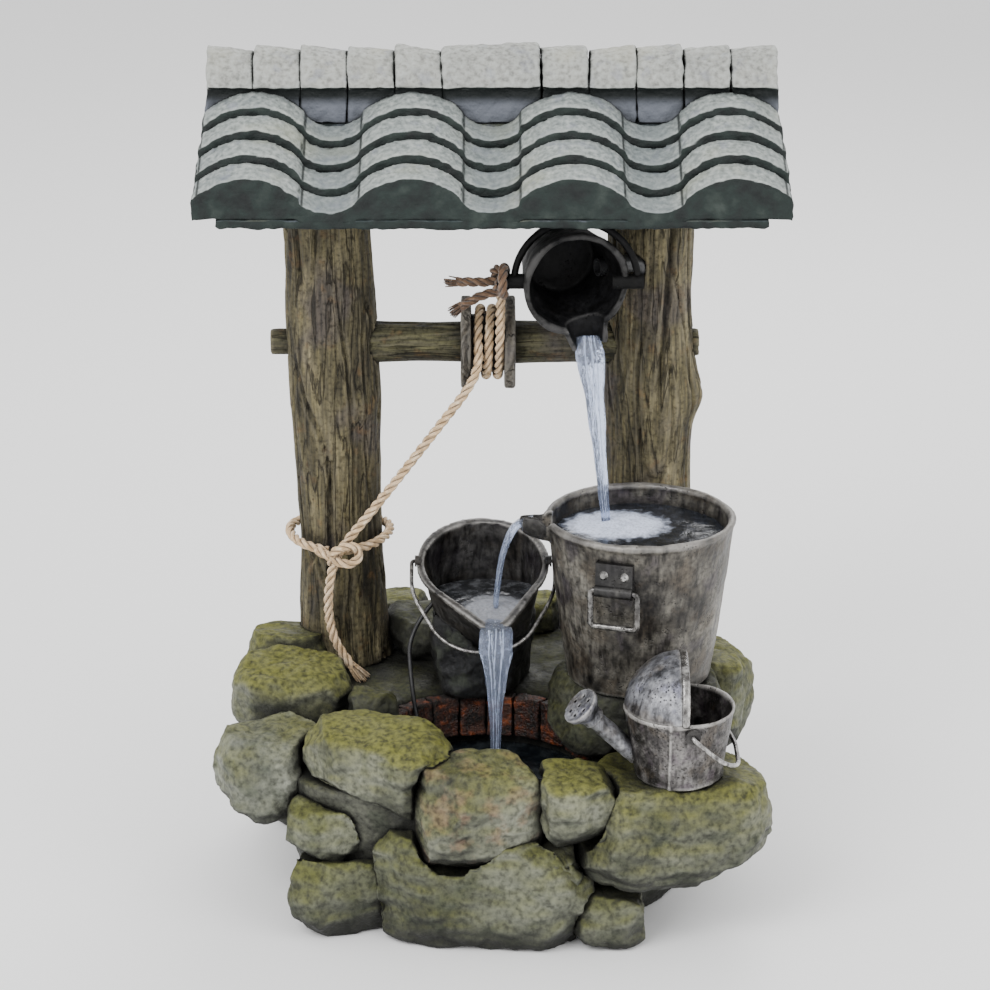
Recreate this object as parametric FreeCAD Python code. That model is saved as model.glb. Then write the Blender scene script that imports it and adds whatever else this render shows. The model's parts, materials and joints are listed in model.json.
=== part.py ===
# Wishing well fountain: a rock basin with a tiled roof on two log posts, a windlass with rope,
# three pouring vessels, a small watering can, and the pump, hose and lamps that make it run.
# Millimetres. Origin on the ground under the middle of the basin, +Z up, -Y towards the front.
import FreeCAD
import Part
import math
import os

V = FreeCAD.Vector

# Clearances
running = 0.3            # between pieces that move past each other
pin_play = 0.06          # radial, pivot pin in its eye
seat = 0.05              # radial, bonded tenon in its socket

# Base casting
core_half_x = 163.0
core_half_y = 138.0
core_center_y = -2.0
core_taper = 0.86        # foot outline over rim outline
core_square = 3.2        # 2 is an ellipse, higher is squarer
rim_z = 112.0            # top of the casting round the front of the pool
ledge_z = 132.0          # top of the raised ledge behind the pool
ledge_front_y = -18.0
shell_wall = 13.0
pool_center_x = -5.0
pool_center_y = -56.0
pool_half_x = 79.0
pool_half_y = 66.0
pool_floor_z = 38.0
brick_thick = 11.0
brick_low_z = 98.0
brick_high_z = 130.0
brick_count = 8
brick_joint = 2.0
gland_bore = 9.0

# Posts
post_y = 75.0
left_post_inset = 50.0   # from the casting's side to the middle of the log's foot
left_post_lean = 9.0     # the logs lean outwards and inwards by this much
right_post_inset = 42.0
right_post_lean = 5.0
left_post_foot_x = left_post_inset - core_half_x
left_post_top_x = left_post_foot_x - left_post_lean
right_post_foot_x = core_half_x - right_post_inset
right_post_top_x = right_post_foot_x - right_post_lean
post_radius = 31.5
tenon_radius = 11.0
tenon_length = 12.0

# Roof
roof_under_z = 496.0
roof_half_x = 190.0
roof_half_y = 98.5
fascia_height = 6.0
roof_rise = 68.0
roof_wall = 12.0
tile_half_x = 206.0
arch_count = 4
pan_width = 40.0
arch_rise = 15.0
pan_sag = 7.0
tile_low_thick = 8.5
tile_high_thick = 3.0
course_count = 4
ridge_half_y = 24.0
ridge_base_lift = 27.0   # underside of the cap's lip above the slope at its edge
ridge_lip = 4.0
ridge_height = 22.0
ridge_step = 4.0         # each cap's outer end stands this much over its inner end
ridge_side_count = 5
ridge_middle_width = 72.0

# Windlass and rope
axle_z = 384.0
axle_radius = 15.0
axle_pin_radius = 10.0
axle_left_reach = 51.0   # from the middle of a log's foot to the axle's end
axle_right_reach = 32.0
axle_left_x = left_post_foot_x - axle_left_reach
axle_right_x = right_post_foot_x + axle_right_reach
spool_center_x = -3.0
spool_gap = 25.5
disc_thick = 7.0
disc_radius = 34.0
hub_radius = 20.5
rope_radius = 3.7
rope_pitch = 8.6
post_loop_z = 233.0
tail_end_z = 141.0

# Upper pot, pouring towards the front
bucket_inset = 56.0      # from the casting's side to the middle of the tall bucket
pot_from_bucket = 47.0   # the pot hangs this far towards -X of the bucket it fills
pot_center = V(core_half_x - bucket_inset - pot_from_bucket, 2.0, 449.0)
pot_rim_radius = 38.0
pot_base_radius = 28.0
pot_depth = 54.0
pot_wall = 3.5
pot_tilt = 96.0          # from upright, about X
pot_roll = 14.0          # spout turned about the pot's own axis
pot_yaw = 12.0           # mouth turned from the front towards +X
pot_bail_rod = 2.6

# Tall bucket
bucket_center = V(core_half_x - bucket_inset, -31.0, 164.0)
bucket_rim_radius = 68.0
bucket_base_radius = 52.0
bucket_height = 120.0
bucket_wall = 4.0
bucket_spout_turn = 184.0
bucket_handle_turn = 252.0
bucket_handle_z = 88.0   # pivot above the bucket's foot
handle_wire = 2.2
handle_half_width = 17.0
handle_drop = 27.0

# Coal scuttle
scuttle_center = V(-6.5, 6.0, 236.0)
scuttle_rim_radius = 47.0
scuttle_base_radius = 35.0
scuttle_depth = 62.0
scuttle_wall = 3.5
scuttle_tilt = 21.0
scuttle_bail_reach = 77.0
scuttle_bail_wire = 1.4
scuttle_bail_rest = 38.0  # below the horizontal, towards the front

# Watering can
can_inset_x = 31.0       # from the casting's sides to the can's middle
can_inset_y = 13.7
can_center = V(core_half_x - can_inset_x, core_center_y - core_half_y + can_inset_y, 127.0)
can_rim_radius = 39.0
can_base_radius = 31.0
can_height = 51.0
can_wall = 2.5
can_bail_reach = 46.0
can_bail_wire = 1.6
can_bail_rest = 42.0     # below the horizontal, towards +X
can_pivot_shift = 7.0    # pivots stand this far to +X of the can's middle
spout_radius = 6.5
rose_radius = 14.0

# Pump, hose and lamps
pump_center = V(-46.0, -62.0, 0.0)
pump_half_x = 19.0
pump_half_y = 27.0
pump_height = 40.0
pump_wall = 2.5
cup_height = 7.0
cup_radius = 7.0
impeller_radius = 13.0
hose_radius = 6.5
hose_bore = 4.5
hose_low_z = 70.0
hose_high_z = 452.0
hose_end_shift = 16.0    # open end to +X of the pot's axis
hose_end_depth = 34.0    # open end behind the pot's mouth
tenon_gap = 1.5          # wall between the right post's tenon and the hose
lamp_radius = 13.0
lamp_height = 9.0
lead_radius = 1.7

nodes = {}


def add(name, *solids):
    """Keeps the solids of one named piece."""
    nodes[name] = Part.makeCompound(list(solids)) if len(solids) > 1 else solids[0]


def turned(shape, center, axis, degrees):
    copy = shape.copy()
    copy.rotate(center, axis, degrees)
    return copy


def moved(shape, offset):
    copy = shape.copy()
    copy.translate(offset)
    return copy


def ring(points):
    """Closed smooth outline through the points."""
    curve = Part.BSplineCurve()
    curve.interpolate(Points=points, PeriodicFlag=True)
    return Part.Wire([curve.toShape()])


def blob(center, half_x, half_y, wobble, phase, count=10, square=2.0):
    """Rounded, slightly uneven closed outline at the centre's height."""
    points = []
    for i in range(count):
        t = 2.0 * math.pi * i / count
        swell = 1.0 + wobble * (math.sin(2.0 * t + phase) + 0.6 * math.sin(3.0 * t + 2.0 * phase))
        swell /= (abs(math.cos(t)) ** square + abs(math.sin(t)) ** square) ** (1.0 / square)
        points.append(center + V(half_x * swell * math.cos(t), half_y * swell * math.sin(t), 0.0))
    return ring(points)


def loft(wires, ruled=False):
    return Part.makeLoft(wires, True, ruled)


def revolved(points):
    """Solid of revolution about Z from (radius, height) points."""
    outline = [V(r, 0.0, z) for r, z in points]
    face = Part.Face(Part.makePolygon(outline + outline[:1]))
    return face.revolve(V(0, 0, 0), V(0, 0, 1), 360.0)


def rod(start, end, radius):
    axis = end - start
    return Part.makeCylinder(radius, axis.Length, start, axis)


def cone(start, end, radius_start, radius_end):
    axis = end - start
    return Part.makeCone(radius_start, radius_end, axis.Length, start, axis)


def box(low, high):
    size = high - low
    return Part.makeBox(size.x, size.y, size.z, low)


def rounded_path(points, share=0.45):
    """Straight runs joined by tangent arcs, each as large as its two runs allow."""
    edges = []
    last = points[0]
    for i in range(1, len(points) - 1):
        back = points[i - 1] - points[i]
        ahead = points[i + 1] - points[i]
        reach = share * min(back.Length, ahead.Length)
        back.normalize()
        ahead.normalize()
        first = points[i] + back * reach
        final = points[i] + ahead * reach
        half = 0.5 * back.getAngle(ahead)
        middle = back + ahead
        middle.normalize()
        radius = reach * math.tan(half)
        crest = points[i] + middle * (radius / math.sin(half) - radius)
        edges.append(Part.LineSegment(last, first).toShape())
        edges.append(Part.Arc(first, crest, final).toShape())
        last = final
    edges.append(Part.LineSegment(last, points[-1]).toShape())
    return Part.Wire(edges)


def tube(path, radius):
    """Round bar swept along a wire."""
    first = path.Edges[0]
    start = first.valueAt(first.FirstParameter)
    tangent = first.tangentAt(first.FirstParameter)
    profile = Part.Wire([Part.Circle(start, tangent, radius).toShape()])
    return path.makePipeShell([profile], True, False)


# Base casting: rock core with the pool, hollow under the floor and behind the pool
core_wobble = 0.025
core_phase = 0.7
pool_back_y = pool_center_y + pool_half_y
far = 400.0              # longer than any piece, for cutting tools


def core_outline(z, inset=0.0):
    share = core_taper + (1.0 - core_taper) * z / ledge_z
    center = V(0.0, core_center_y, z)
    half_x = core_half_x * share - inset
    half_y = core_half_y * share - inset
    return blob(center, half_x, half_y, core_wobble, core_phase, 16, core_square)


def pool_prism(inset, low, high):
    ellipse = Part.Ellipse(V(pool_center_x, pool_center_y, low), pool_half_x - inset, pool_half_y - inset)
    return Part.Face(Part.Wire([ellipse.toShape()])).extrude(V(0.0, 0.0, high - low))


def post_center(foot_x, top_x, z):
    share = (z - ledge_z) / (roof_under_z - ledge_z)
    return V(foot_x + (top_x - foot_x) * share, post_y, z)


left_foot = V(left_post_foot_x, post_y, ledge_z)
right_foot = V(right_post_foot_x, post_y, ledge_z)
hose_lane_y = post_y - tenon_radius - hose_radius - tenon_gap


def hose_lane(z):
    """Point on the hose's way up inside the right post."""
    center = post_center(right_post_foot_x, right_post_top_x, z)
    return V(center.x, hose_lane_y, z)


hose_points = [
    V(pump_center.x, pump_center.y + pump_half_y, hose_low_z),
    V(pump_center.x, hose_lane_y, hose_low_z),
    hose_lane(hose_low_z),
    hose_lane(hose_high_z),
    V(pot_center.x + hose_end_shift, pot_center.y + hose_end_depth, hose_high_z),
]
hose_path = rounded_path(hose_points)
hose_way = tube(hose_path, hose_radius + seat)
gland_z = 0.5 * pool_floor_z
gland_x = 0.08 * core_half_x
gland_inner_y = core_center_y + 0.7 * core_half_y


core = loft([core_outline(0.0), core_outline(ledge_z)])
core = core.cut(box(V(-far, -far, rim_z), V(far, ledge_front_y, far)))


def base_casting():
    solid = core.cut(pool_prism(0.0, pool_floor_z, far))
    under_z = pool_floor_z - shell_wall
    top_z = ledge_z - shell_wall
    chamber_y = pool_back_y + shell_wall
    inner = loft([core_outline(0.0, shell_wall), core_outline(top_z, shell_wall)])
    outline = [
        V(-far, -far, 0.0),
        V(-far, far, 0.0),
        V(-far, far, top_z),
        V(-far, chamber_y, top_z),
        V(-far, chamber_y, under_z),
        V(-far, -far, under_z),
    ]
    face = Part.Face(Part.makePolygon(outline + outline[:1]))
    solid = solid.cut(inner.common(face.extrude(V(2.0 * far, 0.0, 0.0))))
    for foot in (left_foot, right_foot):
        solid = solid.cut(rod(foot - V(0, 0, 2.0 * shell_wall), foot, tenon_radius + seat))
    solid = solid.cut(hose_way)
    gland_start = V(gland_x, gland_inner_y, gland_z)
    return solid.cut(rod(gland_start, gland_start + V(0, far, 0), 0.5 * gland_bore))


casting = base_casting()
add("base_casting", casting)


# Rubber grommet where the pump's supply cable leaves at the back
grommet_flange = 2.5
grommet_lip = 3.0
cable_radius = 3.0


def cable_grommet():
    outer_y = max(v.Y for v in casting.common(rod(
        V(gland_x, gland_inner_y, gland_z), V(gland_x, far, gland_z), gland_bore)).Vertexes)
    start = V(gland_x, outer_y - shell_wall, gland_z)
    end = V(gland_x, outer_y + grommet_flange, gland_z)
    sleeve = rod(start, end, 0.5 * gland_bore - seat)
    head = rod(V(gland_x, outer_y, gland_z), end, 0.5 * gland_bore + grommet_lip)
    return sleeve.fuse(head).cut(rod(start, end, cable_radius)).removeSplitter()


add("cable_grommet", cable_grommet())


# Brick lining along the back of the pool's mouth, one solid per brick
def pool_bricks():
    outer = pool_prism(0.0, brick_low_z, brick_high_z)
    course = outer.cut(pool_prism(brick_thick, brick_low_z, brick_high_z))
    first_turn = 8.0
    last_turn = 172.0
    step = (last_turn - first_turn) / brick_count
    joint_turn = math.degrees(brick_joint / pool_half_x)
    center = V(pool_center_x, pool_center_y, brick_low_z)
    bricks = []
    for i in range(brick_count):
        start = math.radians(first_turn + i * step)
        end = math.radians(first_turn + (i + 1) * step - joint_turn)
        left = V(far * math.cos(start), far * math.sin(start), 0.0)
        right = V(far * math.cos(end), far * math.sin(end), 0.0)
        wedge = Part.Face(Part.makePolygon([center, center + left, center + right, center]))
        brick = course.common(wedge.extrude(V(0.0, 0.0, brick_high_z - brick_low_z)))
        bricks.append(brick.Solids[0])
    return bricks


add("pool_bricks", *pool_bricks())


# Stones. Places are shares of the casting's half sizes, so that they stay on its edge.
# Rows with one name make one group. Each row: name, share of x, share of y, low, high,
# half length, half depth, turn, lean, phase.
stone_rows = [
    ("rim_stone_front", -0.06, -0.99, 60.0, 141.0, 47.0, 30.0, 4.0, -12.0, 0.3),
    ("rim_stone_front_left", -0.49, -0.78, 92.0, 156.0, 58.0, 33.0, -24.0, -8.0, 1.1),
    ("rim_stone_front_right", 0.35, -1.02, 80.0, 137.0, 31.0, 26.0, 10.0, -10.0, 2.2),
    ("rim_stone_right", 0.77, -0.84, 48.0, 127.0, 71.0, 53.0, 8.0, 0.0, 0.9),
    ("rim_stone_left", -0.96, -0.53, 74.0, 138.0, 42.0, 37.0, 20.0, -6.0, 1.7),
    ("rim_stone_left_rear", -0.92, -0.02, 106.0, 160.0, 47.0, 34.0, -8.0, -5.0, 2.9),
    ("rim_stone_right_rear", 1.00, 0.18, 84.0, 158.0, 30.0, 44.0, -6.0, 4.0, 0.5),
    ("bucket_stone", 0.66, -0.22, 112.0, 164.0, 64.0, 57.0, 0.0, 0.0, 1.4),
    ("ledge_stones", -0.545, -0.24, 108.0, 151.0, 19.0, 15.0, 12.0, -6.0, 0.2),
    ("scuttle_stone", -0.05, 0.20, 120.0, 214.0, 38.0, 42.0, 0.0, 0.0, 0.1),
    ("ledge_stones", -0.31, 0.62, 132.0, 166.0, 37.0, 30.0, 5.0, 0.0, 2.4),
    ("front_foot_stones", -0.71, -0.77, 52.0, 100.0, 32.0, 26.0, 14.0, -6.0, 1.9),
    ("front_foot_stones", -0.66, -0.82, 0.0, 60.0, 40.0, 27.0, 10.0, 0.0, 0.8),
    ("front_foot_stones", 0.22, -0.98, 36.0, 82.0, 31.0, 22.0, -6.0, -8.0, 2.6),
    ("front_foot_stones", 0.52, -0.99, 0.0, 44.0, 27.0, 24.0, 0.0, 0.0, 1.2),
    ("front_foot_stones", -0.03, -0.93, 0.0, 88.0, 84.0, 33.0, -3.0, 0.0, 2.0),
]
rear_rows = [
    ("", -0.93, 0.42, 100.0, 163.0, 34.0, 34.0, 0.0, 3.0, 1.3),
    ("", -0.55, 0.95, 88.0, 158.0, 46.0, 30.0, 24.0, 6.0, 0.6),
    ("", 0.05, 1.02, 80.0, 156.0, 52.0, 28.0, 0.0, 6.0, 2.3),
    ("", 0.62, 0.92, 86.0, 160.0, 44.0, 30.0, -26.0, 6.0, 1.8),
    ("", -0.86, 0.52, 0.0, 84.0, 34.0, 42.0, -14.0, 0.0, 0.4),
    ("", -0.37, 0.94, 0.0, 70.0, 52.0, 26.0, 8.0, 0.0, 1.0),
    ("", 0.47, 0.90, 0.0, 76.0, 48.0, 28.0, -10.0, 0.0, 2.7),
    ("", 0.90, 0.30, 0.0, 72.0, 30.0, 46.0, 4.0, 0.0, 1.5),
]
stone_levels = ((0.0, 0.74), (0.2, 0.95), (0.5, 1.0), (0.8, 0.96), (1.0, 0.80))
stone_square = 2.7
stone_wobble = 0.05


def stone(row):
    """Rounded stone: a loft through uneven outlines that narrow to its foot and its top."""
    share_x, share_y, low, high, half_x, half_y, turn, lean, phase = row[1:]
    wires = []
    for level, size in stone_levels:
        center = V(0.0, 0.0, low + (high - low) * level)
        across, along = half_x * size, half_y * size
        wires.append(blob(center, across, along, stone_wobble, phase + level, 8, stone_square))
    middle = V(0.0, 0.0, 0.5 * (low + high))
    solid = turned(loft(wires), middle, V(1, 0, 0), -lean)
    solid = turned(solid, middle, V(0, 0, 1), turn)
    place = V(share_x * core_half_x, core_center_y + share_y * core_half_y, 0.0)
    return moved(solid, place)


def largest(shape):
    return max(shape.Solids, key=lambda solid: solid.Volume)


def seat_stones(rows, others):
    """Cuts each stone back to what it is bedded on, in the order given."""
    placed = []
    for row in rows:
        solid = stone(row)
        for other in others + placed:
            if solid.BoundBox.intersect(other.BoundBox):
                solid = largest(solid.cut(other))
        placed.append(solid)
    return placed


# Posts: two uneven logs with tenons at both ends, bored for the windlass axle
post_wobble = 0.05
mortise_depth = 8.0      # the axle's barrel stands this deep in each post
axle_start = V(axle_left_x, post_y, axle_z)
axle_end = V(axle_right_x, post_y, axle_z)
barrel_inset = V(post_radius - mortise_depth, 0.0, 0.0)
barrel_start = post_center(left_post_foot_x, left_post_top_x, axle_z) + barrel_inset
barrel_end = post_center(right_post_foot_x, right_post_top_x, axle_z) - barrel_inset
axle_pin = rod(axle_start, axle_end, axle_pin_radius + seat)
barrel = rod(barrel_start, barrel_end, axle_radius + seat)
post_levels = ((0.0, 1.10), (0.14, 1.0), (0.38, 0.96), (0.62, 1.02), (0.84, 0.97), (1.0, 1.0))


def post(foot_x, top_x, phase):
    wires = []
    for level, size in post_levels:
        center = post_center(foot_x, top_x, ledge_z + (roof_under_z - ledge_z) * level)
        wires.append(blob(center, post_radius * size, post_radius * size, post_wobble, phase + level, 10))
    foot = post_center(foot_x, top_x, ledge_z)
    top = post_center(foot_x, top_x, roof_under_z)
    solid = loft(wires).cut(barrel).cut(axle_pin)
    solid = solid.fuse(rod(foot - V(0, 0, tenon_length), foot, tenon_radius))
    return solid.fuse(rod(top, top + V(0, 0, tenon_length), tenon_radius))


left_post = post(left_post_foot_x, left_post_top_x, 0.4)
right_post = post(right_post_foot_x, right_post_top_x, 2.1).cut(hose_way)
add("left_post", left_post)
add("right_post", right_post)


# Roof: hollow gable body, open underneath between the posts, and the tiles laid on it
eave_z = roof_under_z + fascia_height
apex_z = eave_z + roof_rise
roof_mouth_half_x = 52.0
roof_mouth_half_y = 44.0
roof_mouth_x = -32.0


def deck_z(from_ridge):
    return apex_z - roof_rise * abs(from_ridge) / roof_half_y


def gable(half_x, half_y, low, eave, apex):
    outline = [
        V(-half_x, post_y - half_y, low),
        V(-half_x, post_y + half_y, low),
        V(-half_x, post_y + half_y, eave),
        V(-half_x, post_y, apex),
        V(-half_x, post_y - half_y, eave),
    ]
    face = Part.Face(Part.makePolygon(outline + outline[:1]))
    return face.extrude(V(2.0 * half_x, 0.0, 0.0))


def roof_shell():
    solid = gable(roof_half_x, roof_half_y, roof_under_z, eave_z, apex_z)
    slope = roof_rise / roof_half_y
    inner_low = roof_under_z + roof_wall
    inner_apex = apex_z - roof_wall * math.sqrt(1.0 + slope * slope)
    inner_half_y = (inner_apex - inner_low - 2.0) / slope
    solid = solid.cut(gable(roof_half_x - roof_wall, inner_half_y, inner_low, inner_low + 2.0, inner_apex))
    mouth_low = V(roof_mouth_x - roof_mouth_half_x, post_y - roof_mouth_half_y, roof_under_z)
    mouth_high = V(roof_mouth_x + roof_mouth_half_x, post_y + roof_mouth_half_y, inner_low)
    solid = solid.cut(box(mouth_low, mouth_high))
    for foot_x, top_x in ((left_post_foot_x, left_post_top_x), (right_post_foot_x, right_post_top_x)):
        top = post_center(foot_x, top_x, roof_under_z)
        solid = solid.cut(rod(top, top + V(0, 0, tenon_length), tenon_radius + seat))
    return solid


add("roof_shell", roof_shell())

arch_width = (2.0 * tile_half_x - (arch_count - 1) * pan_width) / arch_count


def tile_section(from_ridge, thick, side):
    """Outline of a row of tiles: flat on the deck, arches and pans above."""
    y = post_y + side * from_ridge
    low = deck_z(from_ridge)
    base = low + pan_sag + thick
    edges = [Part.LineSegment(V(-tile_half_x, y, low), V(-tile_half_x, y, base)).toShape()]
    x = -tile_half_x
    for i in range(2 * arch_count - 1):
        arch = i % 2 == 0
        width = arch_width if arch else pan_width
        crest = base + arch_rise if arch else base - pan_sag
        arc = Part.Arc(V(x, y, base), V(x + 0.5 * width, y, crest), V(x + width, y, base))
        edges.append(arc.toShape())
        x += width
    edges.append(Part.LineSegment(V(x, y, base), V(x, y, low)).toShape())
    edges.append(Part.LineSegment(V(x, y, low), V(-tile_half_x, y, low)).toShape())
    return Part.Wire(edges)


course_depth = (roof_half_y - ridge_half_y) / course_count
for side, side_name in ((-1, "front"), (1, "back")):
    courses = []
    for i in range(course_count):
        low_edge = tile_section(roof_half_y - i * course_depth, tile_low_thick, side)
        high_edge = tile_section(roof_half_y - (i + 1) * course_depth, tile_high_thick, side)
        courses.append(loft([low_edge, high_edge], True))
    add(side_name + "_tile_courses", *courses)


def ridge_section(x, lift):
    """Outline of a ridge cap: notched to sit over the peak, domed above a small lip."""
    edge = deck_z(ridge_half_y)
    lip_z = edge + ridge_base_lift
    left = post_y - ridge_half_y
    right = post_y + ridge_half_y
    points = [
        V(x, right + ridge_lip, lip_z),
        V(x, right, lip_z),
        V(x, right, edge),
        V(x, post_y, apex_z),
        V(x, left, edge),
        V(x, left, lip_z),
        V(x, left - ridge_lip, lip_z),
    ]
    dome = Part.Arc(points[-1], V(x, post_y, lip_z + ridge_height + lift), points[0])
    return Part.Wire(Part.makePolygon(points).Edges + [dome.toShape()])


def ridge_caps():
    half = 0.5 * ridge_middle_width
    width = (tile_half_x - half) / ridge_side_count
    caps = [loft([ridge_section(-half, ridge_step), ridge_section(half, ridge_step)], True)]
    for i in range(ridge_side_count):
        inner = half + i * width
        for side in (-1, 1):
            start = ridge_section(side * inner, 0.0)
            end = ridge_section(side * (inner + width), ridge_step)
            caps.append(loft([start, end], True))
    return caps


add("ridge_caps", *ridge_caps())


# Windlass: axle through both posts, a hub and two discs bonded on it
pin = rod(axle_start, axle_end, axle_pin_radius)
add("windlass_axle", pin.fuse(rod(barrel_start, barrel_end, axle_radius)).removeSplitter())


def collar(x, width, radius):
    start = V(x, post_y, axle_z)
    end = V(x + width, post_y, axle_z)
    return rod(start, end, radius).cut(rod(start, end, axle_radius + seat))


hub_left_x = spool_center_x - 0.5 * spool_gap
hub_right_x = spool_center_x + 0.5 * spool_gap
add("spool_hub", collar(hub_left_x, spool_gap, hub_radius))
left_disc = collar(hub_left_x - disc_thick, disc_thick, disc_radius)
right_disc = collar(hub_right_x, disc_thick, disc_radius)
add("spool_discs", left_disc, right_disc)


# Vessels: tapered walls with a rolled rim and a pouring lip
def vessel(rim_radius, base_radius, height, wall, bead):
    """Open tapered pot on its foot, with a rolled rim."""
    pot = revolved([(0.0, 0.0), (base_radius, 0.0), (rim_radius, height), (rim_radius - wall, height),
                    (base_radius - wall, wall), (0.0, wall)])
    return pot.fuse(Part.makeTorus(rim_radius - 0.5 * wall, bead, V(0.0, 0.0, height)))


def filled(rim_radius, base_radius, height):
    return revolved([(0.0, 0.0), (base_radius, 0.0), (rim_radius, height), (0.0, height)])


def with_lip(pot, rim_radius, height, wall, hollow, reach, wide, narrow, turn):
    """Opens the rim and adds a trough that narrows outwards."""
    start = V(0.7 * rim_radius, 0.0, height)
    end = V(rim_radius + reach, 0.0, height)
    outer = cone(start, end, wide + wall, narrow + wall)
    inner = cone(start, end, wide, narrow)
    below = box(V(0.0, -far, -far), V(far, far, height))
    trough = outer.cut(inner).common(below).cut(hollow)
    center = V(0, 0, 0)
    pot = pot.cut(turned(inner, center, V(0, 0, 1), turn))
    return largest(pot.fuse(turned(trough, center, V(0, 0, 1), turn)))


def lipped_vessel(rim_radius, base_radius, height, wall, bead, reach, wide, narrow, turn):
    pot = vessel(rim_radius, base_radius, height, wall, bead)
    hollow = revolved([(0.0, wall), (base_radius - wall, wall), (rim_radius - wall, height), (0.0, height)])
    return with_lip(pot, rim_radius, height, wall, hollow, reach, wide, narrow, turn)


def bail(half_width, reach, wire, pin, shoulder):
    """Wire bail with its pivot axis on Y, reaching to +X, pins turned inwards."""
    points = [
        V(0.0, pin - half_width, 0.0),
        V(0.0, -half_width, 0.0),
        V(shoulder * reach, -half_width, 0.0),
        V(reach, -0.5 * half_width, 0.0),
        V(reach, 0.5 * half_width, 0.0),
        V(shoulder * reach, half_width, 0.0),
        V(0.0, half_width, 0.0),
        V(0.0, half_width - pin, 0.0),
    ]
    return tube(rounded_path(points), wire)


# Tall bucket with its bracket, rivets and drop handle
bucket_bead = 3.0
bucket_lip_reach = 19.0
bucket_lip_wide = 15.0
bucket_lip_narrow = 9.0
bracket_height = 21.0
bracket_thick = 3.0
rivet_radius = 3.4
rivet_height = 2.0
knuckle_radius = 4.4
origin = V(0, 0, 0)


def bucket_wall_radius(z):
    return bucket_base_radius + (bucket_rim_radius - bucket_base_radius) * z / bucket_height


def on_bucket(shape, turn):
    return moved(turned(shape, origin, V(0, 0, 1), turn), bucket_center)


tall_bucket = on_bucket(lipped_vessel(
    bucket_rim_radius, bucket_base_radius, bucket_height, bucket_wall, bucket_bead,
    bucket_lip_reach, bucket_lip_wide, bucket_lip_narrow, 0.0), bucket_spout_turn)
bucket_form = moved(filled(bucket_rim_radius, bucket_base_radius, bucket_height), bucket_center)
add("tall_bucket", tall_bucket)

bracket_top_z = bucket_handle_z + bracket_height
bracket_face = bucket_wall_radius(bracket_top_z) + bracket_thick
handle_bend = handle_wire + 1.0
knuckle_half = handle_half_width - handle_bend - running
pivot_radius = bracket_face - 0.2 * knuckle_radius
pivot = V(pivot_radius, 0.0, bucket_handle_z)


def handle_bracket():
    low = V(bucket_wall_radius(bucket_handle_z) - bucket_wall, -knuckle_half, bucket_handle_z)
    plate = box(low, V(bracket_face, knuckle_half, bracket_top_z))
    ends = (pivot - V(0, knuckle_half, 0), pivot + V(0, knuckle_half, 0))
    plate = plate.fuse(rod(ends[0], ends[1], knuckle_radius))
    plate = plate.cut(rod(ends[0], ends[1], handle_wire + pin_play))
    return plate.cut(filled(bucket_rim_radius, bucket_base_radius, bucket_height))


def handle_rivet(y):
    center = V(bracket_face, y, bracket_top_z - 0.42 * bracket_height)
    head = cone(center, center + V(rivet_height, 0, 0), rivet_radius, 0.55 * rivet_radius)
    return on_bucket(head, bucket_handle_turn)


def drop_handle():
    top = bucket_handle_z
    low = bucket_handle_z - handle_drop
    half = handle_half_width
    points = [
        V(pivot_radius, 0.0, top),
        V(pivot_radius, -half, top),
        V(pivot_radius, -half, low),
        V(pivot_radius, half, low),
        V(pivot_radius, half, top),
        V(pivot_radius, 0.0, top),
    ]
    bend = handle_bend
    edges = []
    for i in range(1, len(points) - 1):
        back = (points[i - 1] - points[i]).normalize()
        ahead = (points[i + 1] - points[i]).normalize()
        first = points[i] + back * bend
        final = points[i] + ahead * bend
        crest = points[i] + (back + ahead) * (bend * (1.0 - math.sqrt(0.5)))
        start = edges[-1].valueAt(edges[-1].LastParameter) if edges else points[0]
        edges.append(Part.LineSegment(start, first).toShape())
        edges.append(Part.Arc(first, crest, final).toShape())
    edges.append(Part.LineSegment(edges[-1].valueAt(edges[-1].LastParameter), points[-1]).toShape())
    half_path = len(edges) // 2
    left = tube(Part.Wire(edges[:half_path]), handle_wire)
    right = tube(Part.Wire(edges[half_path:]), handle_wire)
    return left.fuse(right).removeSplitter()


add("bucket_handle_bracket", on_bucket(handle_bracket(), bucket_handle_turn))
add("bucket_rivets", handle_rivet(-0.55 * knuckle_half), handle_rivet(0.55 * knuckle_half))
add("bucket_handle", on_bucket(drop_handle(), bucket_handle_turn))


# Coal scuttle, tipped forward, with two ears and a wire bail
scuttle_bead = 2.2
scuttle_band_height = 4.5
scuttle_lip_reach = 24.0 # the lip's end stands this far out of the round rim
scuttle_lip_round = 12.5 # radius of the lip's end
scuttle_lip_turn = 7.5   # the lip points this far towards +X
scuttle_foot_lip = 16.0  # how far the foot is drawn out below the lip
scuttle_foot_round = 20.0
ear_radius = 4.2
ear_length = 3.4
ear_pin = 2.8            # length of the bail's pin inside an ear
ear_gap = 0.9            # between an ear's face and the bail's bend


def on_scuttle(shape):
    """From the scuttle's own frame, rim centre at the origin, to its tipped place."""
    return moved(turned(shape, origin, V(1, 0, 0), scuttle_tilt), scuttle_center)


def ear_pair(rim_radius, wire, mouth, radius, length, pin):
    """Two bosses on the rim with blind bores for a bail's pins, pivot axis on X."""
    ears = []
    for side in (-1, 1):
        foot = V(side * (rim_radius - 1.0), 0.0, 0.0)
        tip = V(side * (rim_radius + length), 0.0, 0.0)
        bore = V(side * (rim_radius + length - pin - running), 0.0, 0.0)
        ears.append(largest(rod(foot, tip, radius).cut(rod(bore, tip, wire + pin_play)).cut(mouth)))
    return ears


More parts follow.
